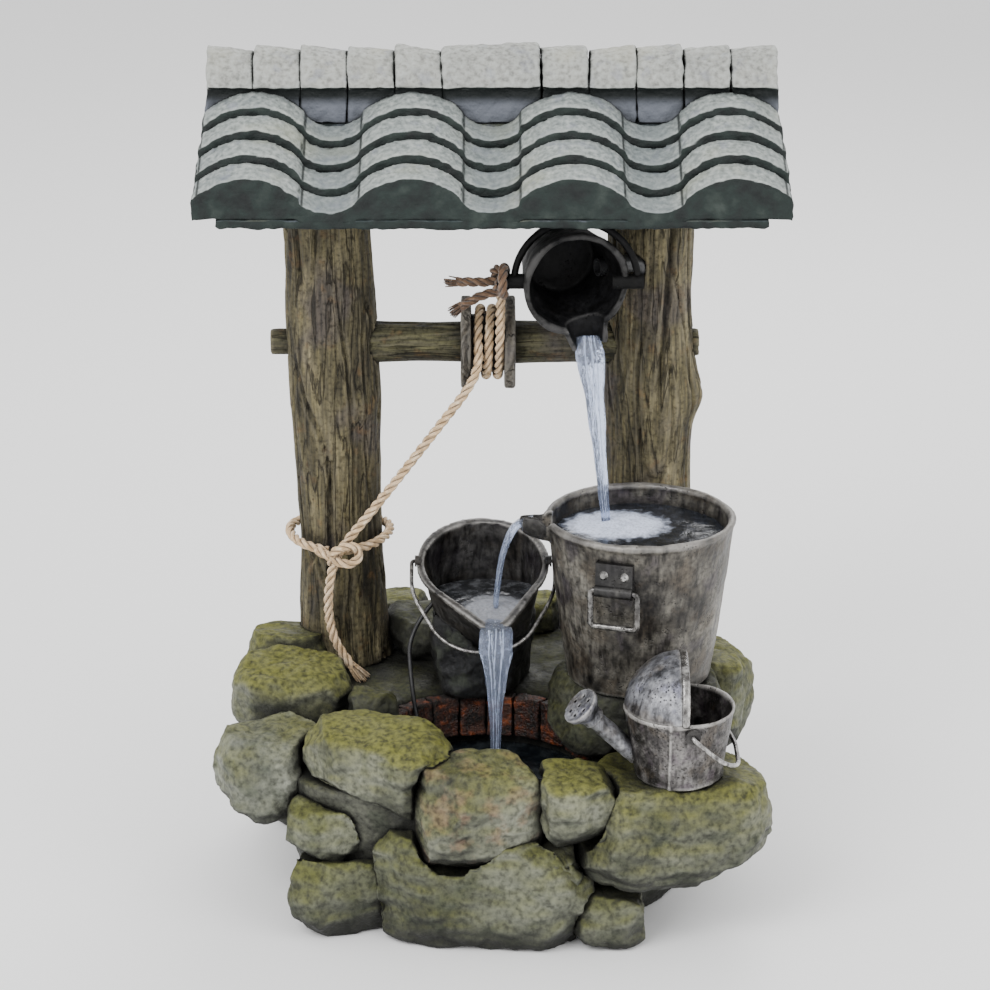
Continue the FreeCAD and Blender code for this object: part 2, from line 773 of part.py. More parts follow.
def lip_outline(radius, tip_radius, tip_distance, z, grow=0.0):
    """Round outline drawn out to a rounded lip: two circles and the lines that touch both."""
    lean = math.asin((radius - tip_radius) / tip_distance)
    wide, narrow = radius + grow, tip_radius + grow
    right = V(wide * math.cos(lean), -wide * math.sin(lean), z)
    tip = V(narrow * math.cos(lean), -tip_distance - narrow * math.sin(lean), z)
    left, tip_left = V(-right.x, right.y, z), V(-tip.x, tip.y, z)
    return Part.Wire([
        Part.Arc(right, V(0.0, wide, z), left).toShape(),
        Part.LineSegment(left, tip_left).toShape(),
        Part.Arc(tip_left, V(0.0, -tip_distance - narrow, z), tip).toShape(),
        Part.LineSegment(tip, right).toShape(),
    ])


def scuttle_rim(z, grow):
    distance = scuttle_rim_radius + scuttle_lip_reach - scuttle_lip_round
    return lip_outline(scuttle_rim_radius, scuttle_lip_round, distance, z, grow)


def scuttle_foot(z, grow):
    return lip_outline(scuttle_base_radius, scuttle_foot_round, scuttle_foot_lip, z, grow)


scuttle_form = loft([scuttle_foot(-scuttle_depth, 0.0), scuttle_rim(0.0, 0.0)], True)
void_foot = scuttle_foot(scuttle_wall - scuttle_depth, -scuttle_wall)
scuttle_void = loft([void_foot, scuttle_rim(0.0, -scuttle_wall)], True)
scuttle_band = loft([scuttle_rim(-scuttle_band_height, scuttle_bead), scuttle_rim(0.0, scuttle_bead)], True)
scuttle_turn = (origin, V(0, 0, 1), scuttle_lip_turn)
scuttle_raw = turned(scuttle_form.fuse(scuttle_band).cut(scuttle_void), *scuttle_turn)
scuttle_form = turned(scuttle_form, *scuttle_turn)
scuttle_solid = scuttle_form.fuse(turned(scuttle_band, *scuttle_turn))
for side in (-1, 1):
    pin_seat = V(side * scuttle_rim_radius, 0.0, 0.0)
    pin_out = V(side * (scuttle_rim_radius + ear_length), 0.0, 0.0)
    scuttle_raw = scuttle_raw.cut(rod(pin_seat, pin_out, scuttle_bail_wire + pin_play))
add("scuttle", on_scuttle(scuttle_raw))
scuttle_ears = ear_pair(
    scuttle_rim_radius, scuttle_bail_wire, scuttle_solid, ear_radius, ear_length, ear_pin)
add("scuttle_ears", *[on_scuttle(ear) for ear in scuttle_ears])
scuttle_bail_half = scuttle_rim_radius + ear_length + ear_gap + scuttle_bail_wire
scuttle_pin = ear_pin + ear_gap + scuttle_bail_wire
scuttle_bail = bail(scuttle_bail_half, scuttle_bail_reach, scuttle_bail_wire, scuttle_pin, 0.35)
scuttle_bail = turned(scuttle_bail, origin, V(0, 0, 1), -90.0)
scuttle_bail = turned(scuttle_bail, origin, V(1, 0, 0), scuttle_bail_rest)
add("scuttle_bail", moved(scuttle_bail, scuttle_center))


# Upper pot, hung by its bail from a saddle under the roof
pot_bead = 2.6
pot_lip_reach = 13.0
pot_lip_wide = 15.0
pot_lip_narrow = 9.5
pot_ear_radius = 5.5
pot_ear_length = 9.0
pot_ear_drop = 8.0       # ears and bail stand this far behind the mouth
saddle_half = 9.0
saddle_depth = 11.0


def on_pot(shape):
    """From the pot's own frame, mouth centre at the origin, to its tipped place."""
    tipped = turned(shape, origin, V(0, 0, 1), pot_roll)
    tipped = turned(tipped, origin, V(1, 0, 0), pot_tilt)
    return moved(turned(tipped, origin, V(0, 0, 1), pot_yaw), pot_center)


pot_raw = lipped_vessel(
    pot_rim_radius, pot_base_radius, pot_depth, pot_wall, pot_bead,
    pot_lip_reach, pot_lip_wide, pot_lip_narrow, 270.0)
upper_pot = on_pot(moved(pot_raw, V(0, 0, -pot_depth)))
pot_form = on_pot(moved(filled(pot_rim_radius, pot_base_radius, pot_depth), V(0, 0, -pot_depth)))
add("upper_pot", upper_pot.cut(hose_way))

bail_y = pot_center.y + pot_ear_drop
bail_radius = roof_under_z - pot_center.z - pot_bail_rod - running
bail_left = V(pot_center.x - bail_radius, bail_y, pot_center.z)
bail_right = V(pot_center.x + bail_radius, bail_y, pot_center.z)
bail_crest = V(pot_center.x, bail_y, pot_center.z + bail_radius)
bail_arc = Part.Wire([Part.Arc(bail_left, bail_crest, bail_right).toShape()])
pot_bail = tube(bail_arc, pot_bail_rod)
bail_way = tube(bail_arc, pot_bail_rod + seat)
add("pot_bail", pot_bail)
ear_parts = []
for end, inward in ((bail_left, 1), (bail_right, -1)):
    outer = end - V(inward * pot_ear_length * (1.4 if inward > 0 else 0.5), 0, 0)
    inner = end + V(inward * 2.0 * pot_ear_length, 0, 0)
    lug = rod(outer, inner, pot_ear_radius).cut(pot_form).cut(upper_pot).cut(bail_way)
    ear_parts.append(largest(lug))
add("pot_ears", *ear_parts)
saddle_low = V(pot_center.x - saddle_half, bail_y - 0.5 * saddle_depth, bail_crest.z - 1.6 * pot_bail_rod)
saddle_high = V(pot_center.x + saddle_half, bail_y + 0.5 * saddle_depth, roof_under_z)
add("pot_saddle", box(saddle_low, saddle_high).cut(bail_way))


# Watering can: body, hood over the left half, band, spout, rose, ears and bail
can_bead = 1.8
hood_wall = 2.2
band_width = 4.5
band_proud = 0.8         # the band stands over the hood's skin, inside and out
can_ear_radius = 5.2
can_ear_length = 4.0
can_ear_pin = 3.2
can_ear_gap = 1.0
spout_wall = 1.8
spout_start = V(-29.0, -2.0, 13.0)
spout_tip = V(-63.0, -14.0, 50.0)
rose_length = 10.0
rose_plate = 2.5
rose_lap = 4.0
rose_hole = 1.3
rose_hole_count = 7


def on_can(shape):
    return moved(shape, can_center)


can_form = filled(can_rim_radius, can_base_radius, can_height)
can_rim = Part.makeTorus(can_rim_radius - 0.5 * can_wall, can_bead, V(0, 0, can_height))
can_foot = Part.makeTorus(can_base_radius - 0.5 * can_bead, can_bead, V(0, 0, can_bead))
can_body = vessel(can_rim_radius, can_base_radius, can_height, can_wall, can_bead).fuse(can_foot)
spout_axis = (spout_tip - spout_start).normalize()
spout_bore = rod(spout_start - spout_axis * spout_radius, spout_tip, spout_radius - spout_wall)
can_body = can_body.cut(spout_bore)
can_mouth = can_form.fuse(can_rim).fuse(can_foot)
add("can_body", on_can(can_body))

above = box(V(-far, -far, can_height), V(0.0, far, far))
rim_center = V(0, 0, can_height)
hood_hollow = Part.makeSphere(can_rim_radius - hood_wall, rim_center)
hood = Part.makeSphere(can_rim_radius, rim_center).cut(hood_hollow)
add("can_hood", on_can(largest(hood.common(above).cut(can_rim))))
band_end = rim_center + V(band_width, 0, 0)
band = rod(rim_center, band_end, can_rim_radius + band_proud)
band = band.cut(rod(rim_center, band_end, can_rim_radius - hood_wall - band_proud))
over = box(V(0.0, -far, can_height), V(far, far, far))
add("can_band", on_can(largest(band.common(over).cut(can_rim))))

can_spout = rod(spout_start, spout_tip, spout_radius).cut(spout_bore).cut(can_form)
add("can_spout", on_can(largest(can_spout)))


def can_rose():
    foot = spout_tip - spout_axis * rose_lap
    neck = spout_tip + spout_axis * 1.0
    face = spout_tip + spout_axis * rose_length
    end = face + spout_axis * rose_plate
    neck_radius = spout_radius + spout_wall
    solid = rod(foot, neck, neck_radius).fuse(cone(neck, face, neck_radius, rose_radius))
    solid = solid.fuse(rod(face, end, rose_radius))
    solid = solid.cut(rod(foot, spout_tip, spout_radius + seat))
    solid = solid.cut(cone(spout_tip, face, spout_radius - spout_wall, rose_radius - spout_wall))
    side = spout_axis.cross(V(0, 0, 1)).normalize()
    rise = side.cross(spout_axis)
    for i in range(rose_hole_count):
        angle = 2.0 * math.pi * i / (rose_hole_count - 1)
        reach = 0.58 * rose_radius if i else 0.0
        center = face + side * (reach * math.cos(angle)) + rise * (reach * math.sin(angle))
        solid = solid.cut(rod(center - spout_axis, center + spout_axis * (rose_plate + 1.0), rose_hole))
    return solid.removeSplitter()


add("can_rose", on_can(can_rose()))

can_pivot = V(can_pivot_shift, 0.0, can_height - can_ear_radius)
can_bail_half = can_rim_radius + can_ear_length + can_ear_gap + can_bail_wire
can_ear_mouth = turned(moved(can_mouth, can_pivot * -1.0), origin, V(0, 0, 1), -90.0)
can_ears = ear_pair(
    can_rim_radius, can_bail_wire, can_ear_mouth, can_ear_radius, can_ear_length, can_ear_pin)
add("can_ears", *[on_can(moved(turned(ear, origin, V(0, 0, 1), 90.0), can_pivot)) for ear in can_ears])
can_pin = can_ear_pin + can_ear_gap + can_bail_wire
can_bail = bail(can_bail_half, can_bail_reach, can_bail_wire, can_pin, 0.6)
can_bail = turned(can_bail, origin, V(0, 1, 0), can_bail_rest)
add("can_bail", on_can(moved(can_bail, can_pivot)))


# Pump in the pool: housing on suction feet, cover, impeller, strainer and flow dial
pump_low_z = pool_floor_z + cup_height
pump_high_z = pump_low_z + pump_height
strainer_depth = 11.0
cover_thick = 3.0
chamber_depth = 14.0
chamber_gap = 2.0        # radial, round the impeller
shaft_radius = 2.0
shaft_length = 16.0
blade_count = 5
blade_thick = 1.6
inlet_radius = 5.0
channel_radius = 3.2
nozzle_length = 14.0
dial_radius = 7.0
dial_height = 4.0
dial_pin_radius = 2.5
dial_pin_length = 7.0
slot_width = 3.0
pump_corner = 3.0
slot_count = 5
pump_front_y = pump_center.y - pump_half_y
pump_back_y = pump_center.y + pump_half_y
cover_y = pump_front_y + strainer_depth
housing_y = cover_y + cover_thick
shaft_z = pump_low_z + 0.43 * pump_height


def along_y(y, z=shaft_z):
    return V(pump_center.x, y, z)


def pump_block(start_y, end_y, inset=0.0):
    low = V(pump_center.x - pump_half_x + inset, start_y, pump_low_z + inset)
    return box(low, V(pump_center.x + pump_half_x - inset, end_y, pump_high_z - inset))


chamber_end_y = housing_y + chamber_depth
dial_center = V(pump_center.x, 0.5 * (chamber_end_y + pump_back_y), pump_high_z)


def pump_housing():
    solid = pump_block(housing_y, pump_back_y)
    long_edges = [edge for edge in solid.Edges if abs(edge.tangentAt(edge.FirstParameter).y) > 0.9]
    solid = solid.makeFillet(pump_corner, long_edges)
    chamber_end = chamber_end_y
    solid = solid.cut(rod(along_y(housing_y), along_y(chamber_end), impeller_radius + chamber_gap))
    shaft_end = along_y(chamber_end + shaft_length)
    solid = solid.cut(rod(along_y(chamber_end), shaft_end, shaft_radius + pin_play))
    channel_end = along_y(pump_back_y + nozzle_length, hose_low_z)
    solid = solid.fuse(rod(along_y(pump_back_y, hose_low_z), channel_end, hose_bore - seat))
    solid = solid.cut(rod(along_y(chamber_end, hose_low_z), channel_end, channel_radius))
    dial_low = dial_center - V(0, 0, dial_pin_length + 1.0)
    return solid.cut(rod(dial_low, dial_center, dial_pin_radius + pin_play))


def pump_impeller():
    back_y = housing_y + chamber_depth - 2.0
    disc_y = back_y - 2.5
    front_y = housing_y + 2.0
    solid = rod(along_y(disc_y), along_y(back_y), impeller_radius)
    solid = solid.fuse(rod(along_y(front_y), along_y(disc_y), 4.5))
    solid = solid.fuse(rod(along_y(back_y), along_y(back_y + 2.0 + shaft_length - 1.0), shaft_radius))
    for i in range(blade_count):
        blade = box(V(3.0, front_y, -0.5 * blade_thick), V(impeller_radius - 0.5, disc_y, 0.5 * blade_thick))
        blade = turned(blade, V(0, 0, 0), V(0, 1, 0), 360.0 * i / blade_count)
        solid = solid.fuse(moved(blade, V(pump_center.x, 0.0, shaft_z)))
    return solid.removeSplitter()


def pump_strainer():
    wall = pump_wall
    solid = pump_block(pump_front_y, cover_y).cut(pump_block(pump_front_y + wall, cover_y, wall))
    pitch = 2.0 * (pump_half_x - 2.0 * wall) / slot_count
    for i in range(slot_count):
        x = pump_center.x + (i - 0.5 * (slot_count - 1)) * pitch
        low = V(x - 0.5 * slot_width, pump_front_y, pump_low_z + 3.0 * wall)
        high = V(x + 0.5 * slot_width, pump_front_y + wall, pump_high_z - 3.0 * wall)
        solid = solid.cut(box(low, high))
    return solid


def flow_dial():
    low = dial_center + V(0, 0, running)
    top = low + V(0, 0, dial_height)
    grip = box(low + V(-dial_radius, -1.2, dial_height), low + V(dial_radius, 1.2, dial_height + 2.5))
    solid = rod(low, top, dial_radius).fuse(grip.common(rod(top, top + V(0, 0, 5.0), dial_radius)))
    return solid.fuse(rod(dial_center - V(0, 0, dial_pin_length), low, dial_pin_radius)).removeSplitter()


cups = []
for sign_x in (-1, 1):
    for sign_y in (-1, 1):
        x = pump_center.x + sign_x * (pump_half_x - cup_radius)
        y = 0.5 * (housing_y + pump_back_y) + sign_y * (0.5 * (pump_back_y - housing_y) - cup_radius)
        cups.append(cone(V(x, y, pool_floor_z), V(x, y, pump_low_z), cup_radius, 0.5 * cup_radius))
add("pump_housing", pump_housing())
inlet = rod(along_y(cover_y), along_y(housing_y), inlet_radius)
add("pump_cover", pump_block(cover_y, housing_y).cut(inlet))
add("pump_strainer", pump_strainer())
add("pump_impeller", pump_impeller())
add("pump_flow_dial", flow_dial())
add("pump_feet", *cups)
hose = tube(hose_path, hose_radius).cut(tube(hose_path, hose_bore))
add("riser_hose", hose)


# Lamps: one on the bucket's floor, one on the scuttle's floor
lens_inset = 2.5
lens_height = 3.0


def lamp_body():
    inner = lamp_radius - lens_inset
    return revolved([(0.0, 0.0), (lamp_radius, 0.0), (lamp_radius, lamp_height), (inner, lamp_height),
                     (inner, lamp_height - lens_height), (0.0, lamp_height - lens_height)])


def lamp_lens():
    radius = lamp_radius - lens_inset - seat
    low = lamp_height - lens_height
    return revolved([(0.0, low), (radius, low), (radius, lamp_height), (0.6 * radius, lamp_height + 1.5),
                     (0.0, lamp_height + 2.0)])


def in_bucket(shape):
    return moved(shape, bucket_center + V(0, 0, bucket_wall))


def in_scuttle(shape):
    return on_scuttle(moved(shape, V(0, 0, scuttle_wall - scuttle_depth)))


add("lamp_bodies", in_bucket(lamp_body()), in_scuttle(lamp_body()))
add("lamp_lenses", in_bucket(lamp_lens()), in_scuttle(lamp_lens()))


# Lamp lead: out through the scuttle's wall, over the ledge and down to the pump
lead_points = [
    V(-40.0, 15.0, 204.0),
    V(-62.5, 8.0, 181.0),
    V(-60.0, -18.0, 150.0),
    V(-55.0, -26.0, 118.0),
    V(pump_center.x, dial_center.y + dial_radius + 4.0, pump_high_z + 18.0),
    V(pump_center.x, dial_center.y + dial_radius + 4.0, pump_high_z),
]
lead_path = rounded_path(lead_points)
add("lamp_lead", tube(lead_path, lead_radius).cut(on_scuttle(scuttle_solid)))


# Rope: one unbroken length from the tie, round the windlass and down to the hitch on the left post
wind_radius = hub_radius + rope_radius + running
wind_start_x = spool_center_x + 0.5 * spool_gap - rope_radius - 0.6
wind_start_turn = 201.5
wind_end_turn = 870.0
disc_rim_turn = 214.0
tie_center = V(8.5, bail_y, pot_center.z)
tie_loop_radius = pot_ear_radius + rope_radius + running
tie_point = V(wind_start_x + 1.0, tie_center.y + tie_loop_radius + 2.0 * rope_radius + 1.0, tie_center.z)
loop_radius = 1.06 * post_radius + rope_radius + running
loop_center = post_center(left_post_foot_x, left_post_top_x, post_loop_z)
hitch_point = loop_center + V(1.5, -loop_radius - 2.0 * rope_radius - 0.75, 0.0)


def biarc(start, start_way, end, end_way):
    """Two arcs that meet smoothly and leave and arrive along the given directions."""
    span = end - start
    ways = start_way + end_way
    spread = 2.0 - 2.0 * start_way.dot(end_way)
    along = span.dot(ways)
    if spread < 1e-9:
        reach = span.dot(span) / (2.0 * along)
    else:
        reach = (math.sqrt(along * along + spread * span.dot(span)) - along) / spread
    first = start + start_way * reach
    second = end - end_way * reach
    middle = (first + second) * 0.5
    return [bend(start, first, middle), bend(middle, second, end)]


def bend(start, corner, end):
    """Arc from start to end, tangent to the lines that meet at the corner."""
    back = start - corner
    ahead = end - corner
    half = 0.5 * back.getAngle(ahead)
    if half > 0.5 * math.pi - 1e-4:
        return Part.LineSegment(start, end).toShape()
    radius = back.Length * math.tan(half)
    to_center = (back.normalize() + ahead.normalize()).normalize()
    crest = corner + to_center * (radius / math.sin(half) - radius)
    return Part.Arc(start, crest, end).toShape()


def winding(turn):
    """Point on the winding and the rope's direction there."""
    angle = math.radians(turn)
    x = wind_start_x - rope_pitch * (turn - wind_start_turn) / 360.0
    point = V(x, post_y + wind_radius * math.cos(angle), axle_z + wind_radius * math.sin(angle))
    pitch_share = rope_pitch / (2.0 * math.pi)
    way = V(-pitch_share, -wind_radius * math.sin(angle), wind_radius * math.cos(angle))
    return point, way.normalize()


def rope_path():
    point, way = winding(wind_start_turn)
    arrive = (point - tie_point).normalize()
    lead_in = point - arrive * 2.5 * wind_radius * 0.5
    edges = [Part.LineSegment(tie_point, lead_in).toShape()]
    turn = wind_start_turn + 20.0
    knots = [(lead_in, arrive)]
    while turn < wind_end_turn:
        knots.append(winding(turn))
        turn += 90.0
    knots.append(winding(wind_end_turn))
    rim = math.radians(disc_rim_turn)
    clear = disc_radius + rope_radius + 2.0
    hop_x = spool_center_x - 0.5 * spool_gap + 1.5
    hop = V(hop_x, post_y + clear * math.cos(rim), axle_z + clear * math.sin(rim))
    run_way = (hitch_point - hop).normalize()
    knots.append((hop, run_way))
    for i in range(1, len(knots)):
        edges.extend(biarc(knots[i - 1][0], knots[i - 1][1], knots[i][0], knots[i][1]))
    run_end = hitch_point - run_way * 12.0
    edges.append(Part.LineSegment(hop, run_end).toShape())
    tail = [
        hitch_point + V(-6.0, 0.5, -14.0),
        V(hitch_point.x - 9.0, hitch_point.y + 1.0, hitch_point.z - 46.0),
        V(hitch_point.x - 3.0, hitch_point.y + 1.0, tail_end_z + 18.0),
        V(hitch_point.x + 9.0, hitch_point.y - 1.0, tail_end_z),
    ]
    down = V(-0.16, 0.0, -1.0).normalize()
    edges.extend(biarc(run_end, run_way, tail[0], down))
    ways = [down, V(0, 0, -1), V(0.45, 0.0, -1.0).normalize(), V(0.62, -0.1, -0.8).normalize()]
    for i in range(1, len(tail)):
        edges.extend(biarc(tail[i - 1], ways[i - 1], tail[i], ways[i]))
    return Part.Wire(edges)


well_rope_path = rope_path()
add("well_rope", tube(well_rope_path, rope_radius))
add("rope_post_loop", Part.makeTorus(loop_radius, rope_radius, loop_center, V(0, 0, 1)))
add("rope_tie_loop", Part.makeTorus(tie_loop_radius, rope_radius, tie_center, V(1, 0, 0)))
high_bends = (V(-1, 0, -4.5), V(-16, -1.5, -5.5), V(-33, -4, -4.5))
low_bends = (V(-1, 0, -13), V(-14, -1.5, -16.5), V(-30, -4, -24.5))
tie_ends = []
for bends in (high_bends, low_bends):
    end = tube(rounded_path([tie_point + offset for offset in bends]), rope_radius)
    tie_ends.append(largest(end.cut(nodes["well_rope"])))
add("rope_tie_ends", *tie_ends)


# Stones, bedded on the casting and on each other, and cleared for what stands among them
standing = [core, left_post, right_post, on_scuttle(scuttle_solid), bucket_form, on_can(can_mouth)]
standing += list(nodes["pool_bricks"].Solids)
stones = seat_stones(stone_rows, standing)
groups = {}
for row, solid in zip(stone_rows, stones):
    groups.setdefault(row[0], []).append(solid)
for name, members in groups.items():
    add(name, *members)
rear = seat_stones(rear_rows, standing + stones)
add("rear_rim_stones", *rear[:4])
add("rear_foot_stones", *rear[4:])



def least_gap(path, radius):
    """Least clear distance between stretches of one tube that lie apart along it."""
    points = path.discretize(Distance=2.0)
    apart = int(6.0 * radius)
    gaps = []
    for i in range(len(points)):
        for j in range(i + apart, len(points)):
            gaps.append(points[i].distanceToPoint(points[j]))
    return min(gaps) - 2.0 * radius


for name, path in (("rope", well_rope_path), ("lead", lead_path), ("hose", hose_path)):
    radii = sorted(edge.Curve.Radius for edge in path.Edges if hasattr(edge.Curve, "Radius"))
    print("%s: length %.0f mm, least bend radius %.1f mm" % (name, path.Length, radii[0]))
print("rope: least gap to itself %.2f mm" % least_gap(well_rope_path, rope_radius))

os.makedirs("parts", exist_ok=True)
for name, shape in nodes.items():
    shape.exportStep("parts/%s.step" % name)
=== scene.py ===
import json
import math
import random

import bpy
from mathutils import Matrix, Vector, noise
from mathutils.bvhtree import BVHTree

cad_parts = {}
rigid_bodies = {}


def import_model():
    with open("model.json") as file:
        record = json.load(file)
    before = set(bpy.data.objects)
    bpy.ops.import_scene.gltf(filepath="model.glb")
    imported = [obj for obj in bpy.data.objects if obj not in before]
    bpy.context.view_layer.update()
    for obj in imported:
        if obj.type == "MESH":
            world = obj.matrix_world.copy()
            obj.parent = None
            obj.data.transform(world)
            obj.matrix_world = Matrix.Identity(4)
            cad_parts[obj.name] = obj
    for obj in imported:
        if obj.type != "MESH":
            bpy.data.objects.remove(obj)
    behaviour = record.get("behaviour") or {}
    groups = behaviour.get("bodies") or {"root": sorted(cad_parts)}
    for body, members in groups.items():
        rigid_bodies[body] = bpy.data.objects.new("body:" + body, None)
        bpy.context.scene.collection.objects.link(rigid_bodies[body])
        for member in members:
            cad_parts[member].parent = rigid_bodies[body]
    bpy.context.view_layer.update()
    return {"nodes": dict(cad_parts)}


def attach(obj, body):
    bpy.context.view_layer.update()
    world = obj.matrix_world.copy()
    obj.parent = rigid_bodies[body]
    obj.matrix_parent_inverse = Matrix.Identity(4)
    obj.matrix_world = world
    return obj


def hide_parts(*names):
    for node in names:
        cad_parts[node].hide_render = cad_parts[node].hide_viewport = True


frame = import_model()
nodes = frame["nodes"]
scene = bpy.context.scene
bpy.ops.object.select_all(action="DESELECT")
print("frame loaded, %d nodes" % len(nodes))


# tools for the shader trees, which work on the tree that was opened last
tree = None


def put(kind, values=None, **settings):
    node = tree.nodes.new("ShaderNode" + kind)
    for key, value in settings.items():
        setattr(node, key, value)
    for key, value in (values or {}).items():
        link(value, node.inputs[key])
    return node


def link(value, socket):
    if isinstance(value, bpy.types.NodeSocket):
        tree.links.new(value, socket)
    else:
        socket.default_value = value


def calc(operation, *values):
    return put("Math", dict(enumerate(values)), operation=operation).outputs[0]


def band(value, low, high, start=0.0, end=1.0, kind="SMOOTHSTEP"):
    values = {"Value": value, "From Min": low, "From Max": high, "To Min": start, "To Max": end}
    return put("MapRange", values, interpolation_type=kind).outputs[0]


def ramp(value, *stops):
    node = put("ValToRGB", {0: value})
    elements = node.color_ramp.elements
    while len(elements) < len(stops):
        elements.new(0.5)
    for element, (place, colour) in zip(elements, stops):
        element.position = place
        element.color = (*colour, 1.0)
    return node.outputs[0]


def cloud(vector, scale, detail, more=None):
    values = {"Vector": vector, "Scale": scale, "Detail": detail, **(more or {})}
    return put("TexNoise", values).outputs[0]


def stretched(vector, scale):
    return put("Mapping", {"Vector": vector, "Scale": scale}).outputs[0]


def axisOf(vector, axis):
    return put("SeparateXYZ", {0: vector}).outputs[axis]


def facingUp():
    return axisOf(put("NewGeometry").outputs["Normal"], "Z")


def mix(share, first, second, blend="MIX"):
    node = put("Mix", {0: share}, data_type="RGBA", blend_type=blend)
    for value, index in ((first, 6), (second, 7)):
        link((*value, 1.0) if isinstance(value, tuple) else value, node.inputs[index])
    return node.outputs[2]


# a colour over the base, as far as a mask and a share let it
def tint(base, mask, share, colour):
    return mix(calc("MULTIPLY", mask, share), base, colour)


# specks and fibres that darken and lighten the base
def speckle(base, share, value, *stops):
    return mix(share, base, ramp(value, *stops), "MULTIPLY")


def newGroup(name, inputs, outputs):
    global tree
    tree = bpy.data.node_groups.new(name, "ShaderNodeTree")
    for label, value in inputs.items():
        kind = "NodeSocketVector" if value is None else "NodeSocketFloat"
        socket = tree.interface.new_socket(name=label, in_out="INPUT", socket_type=kind)
        if value is not None:
            socket.default_value = value
    for label in outputs:
        tree.interface.new_socket(name=label, in_out="OUTPUT", socket_type="NodeSocketFloat")
    return tree.nodes.new("NodeGroupInput").outputs, tree.nodes.new("NodeGroupOutput").inputs


# noise in three sizes, for mottling and grain
def grainGroup():
    taken, given = newGroup("grain", {"Vector": None, "Scale": 30.0}, ["Broad", "Middle", "Fine"])
    for label, times, detail in (("Broad", 1.0, 3.0), ("Middle", 4.3, 4.0), ("Fine", 17.0, 5.0)):
        size = calc("MULTIPLY", taken["Scale"], times)
        link(cloud(taken["Vector"], size, detail), given[label])
    return tree


# dark wash with painted shade that stays in the hollows, and paint that rubs off the edges
def wearShadeGroup():
    taken, given = newGroup("wearShade", {"Reach": 0.015, "Sharp": 0.06}, ["Hollow", "Edge"])
    # the hollow mask is ambient occlusion: it paints shade into the hollows along with the dark wash
    shade = put("AmbientOcclusion", {"Distance": taken["Reach"]}, samples=6).outputs["AO"]
    link(band(shade, 0.35, 0.95, 1.0, 0.0), given["Hollow"])
    point = put("NewGeometry").outputs["Pointiness"]
    top = calc("ADD", taken["Sharp"], 0.5)
    link(band(point, 0.505, top, kind="LINEAR"), given["Edge"])
    return tree


# moss on what faces the sky
def mossGroup():
    taken, given = newGroup("moss", {"Vector": None, "Scale": 22.0, "Amount": 0.5}, ["Mask"])
    top = band(facingUp(), -0.35, 0.80)
    spots = cloud(taken["Vector"], taken["Scale"], 6.0, {"Roughness": 0.62})
    level = calc("SUBTRACT", 1.0, taken["Amount"])
    low, high = (calc(sign, level, 0.14) for sign in ("SUBTRACT", "ADD"))
    patch = band(spots, low, high, kind="LINEAR")
    link(calc("MULTIPLY", top, patch), given["Mask"])
    return tree


# fibres, bands and splits that run along the local Z of the vector
def woodGroup():
    taken, given = newGroup("wood", {"Vector": None}, ["Fibre", "Band", "Split"])
    for label, squeeze, scale, detail in (("Fibre", 0.11, 430.0, 7.0), ("Band", 0.20, 62.0, 6.0)):
        runs = stretched(taken["Vector"], (1.0, 1.0, squeeze))
        link(cloud(runs, scale, detail), given[label])
    runs = stretched(taken["Vector"], (1.0, 1.0, 0.09))
    lines = cloud(runs, 90.0, 4.0, {"Distortion": 0.4})
    away = calc("ABSOLUTE", calc("SUBTRACT", lines, 0.5))
    link(band(away, 0.0, 0.022, 1.0, 0.0), given["Split"])
    return tree


# sparse casting pits
def pitGroup():
    taken, given = newGroup("pits", {"Vector": None, "Scale": 260.0, "Amount": 0.5}, ["Mask"])
    cells = put("TexVoronoi", {"Vector": taken["Vector"], "Scale": taken["Scale"]})
    dots = band(cells.outputs["Distance"], 0.12, 0.34, 1.0, 0.0)
    spots = cloud(taken["Vector"], calc("MULTIPLY", taken["Scale"], 0.16), 3.0)
    level = calc("SUBTRACT", 1.0, taken["Amount"])
    patch = band(spots, level, calc("ADD", level, 0.12), kind="LINEAR")
    link(calc("MULTIPLY", dots, patch), given["Mask"])
    return tree


grain, wearShade, moss, wood, pits = grainGroup(), wearShadeGroup(), mossGroup(), woodGroup(), pitGroup()
print("shader groups made")


def useGroup(group, values):
    return put("Group", values, node_tree=group).outputs


def mottle(place, scale):
    return useGroup(grain, {"Vector": place, "Scale": scale})


# rubbed edges, and the hollows' dark wash with painted shade
def rubAndShade(reach, sharp):
    return useGroup(wearShade, {"Reach": reach, "Sharp": sharp})


def newMaterial(name, specular=0.5, metallic=0.0):
    global tree
    material = bpy.data.materials.new(name)
    material.use_nodes = True
    tree = material.node_tree
    shader = tree.nodes["Principled BSDF"]
    shader.inputs["Metallic"].default_value = metallic
    shader.inputs["Specular IOR Level"].default_value = specular
    return material, shader, put("TexCoord").outputs["Object"]


def wire(shader, base, rough, height, depth, strength):
    link(base, shader.inputs["Base Color"])
    link(rough, shader.inputs["Roughness"])
    bump = put("Bump", {"Height": height, "Distance": depth, "Strength": strength})
    link(bump.outputs[0], shader.inputs["Normal"])


white = (1.0, 1.0, 1.0)


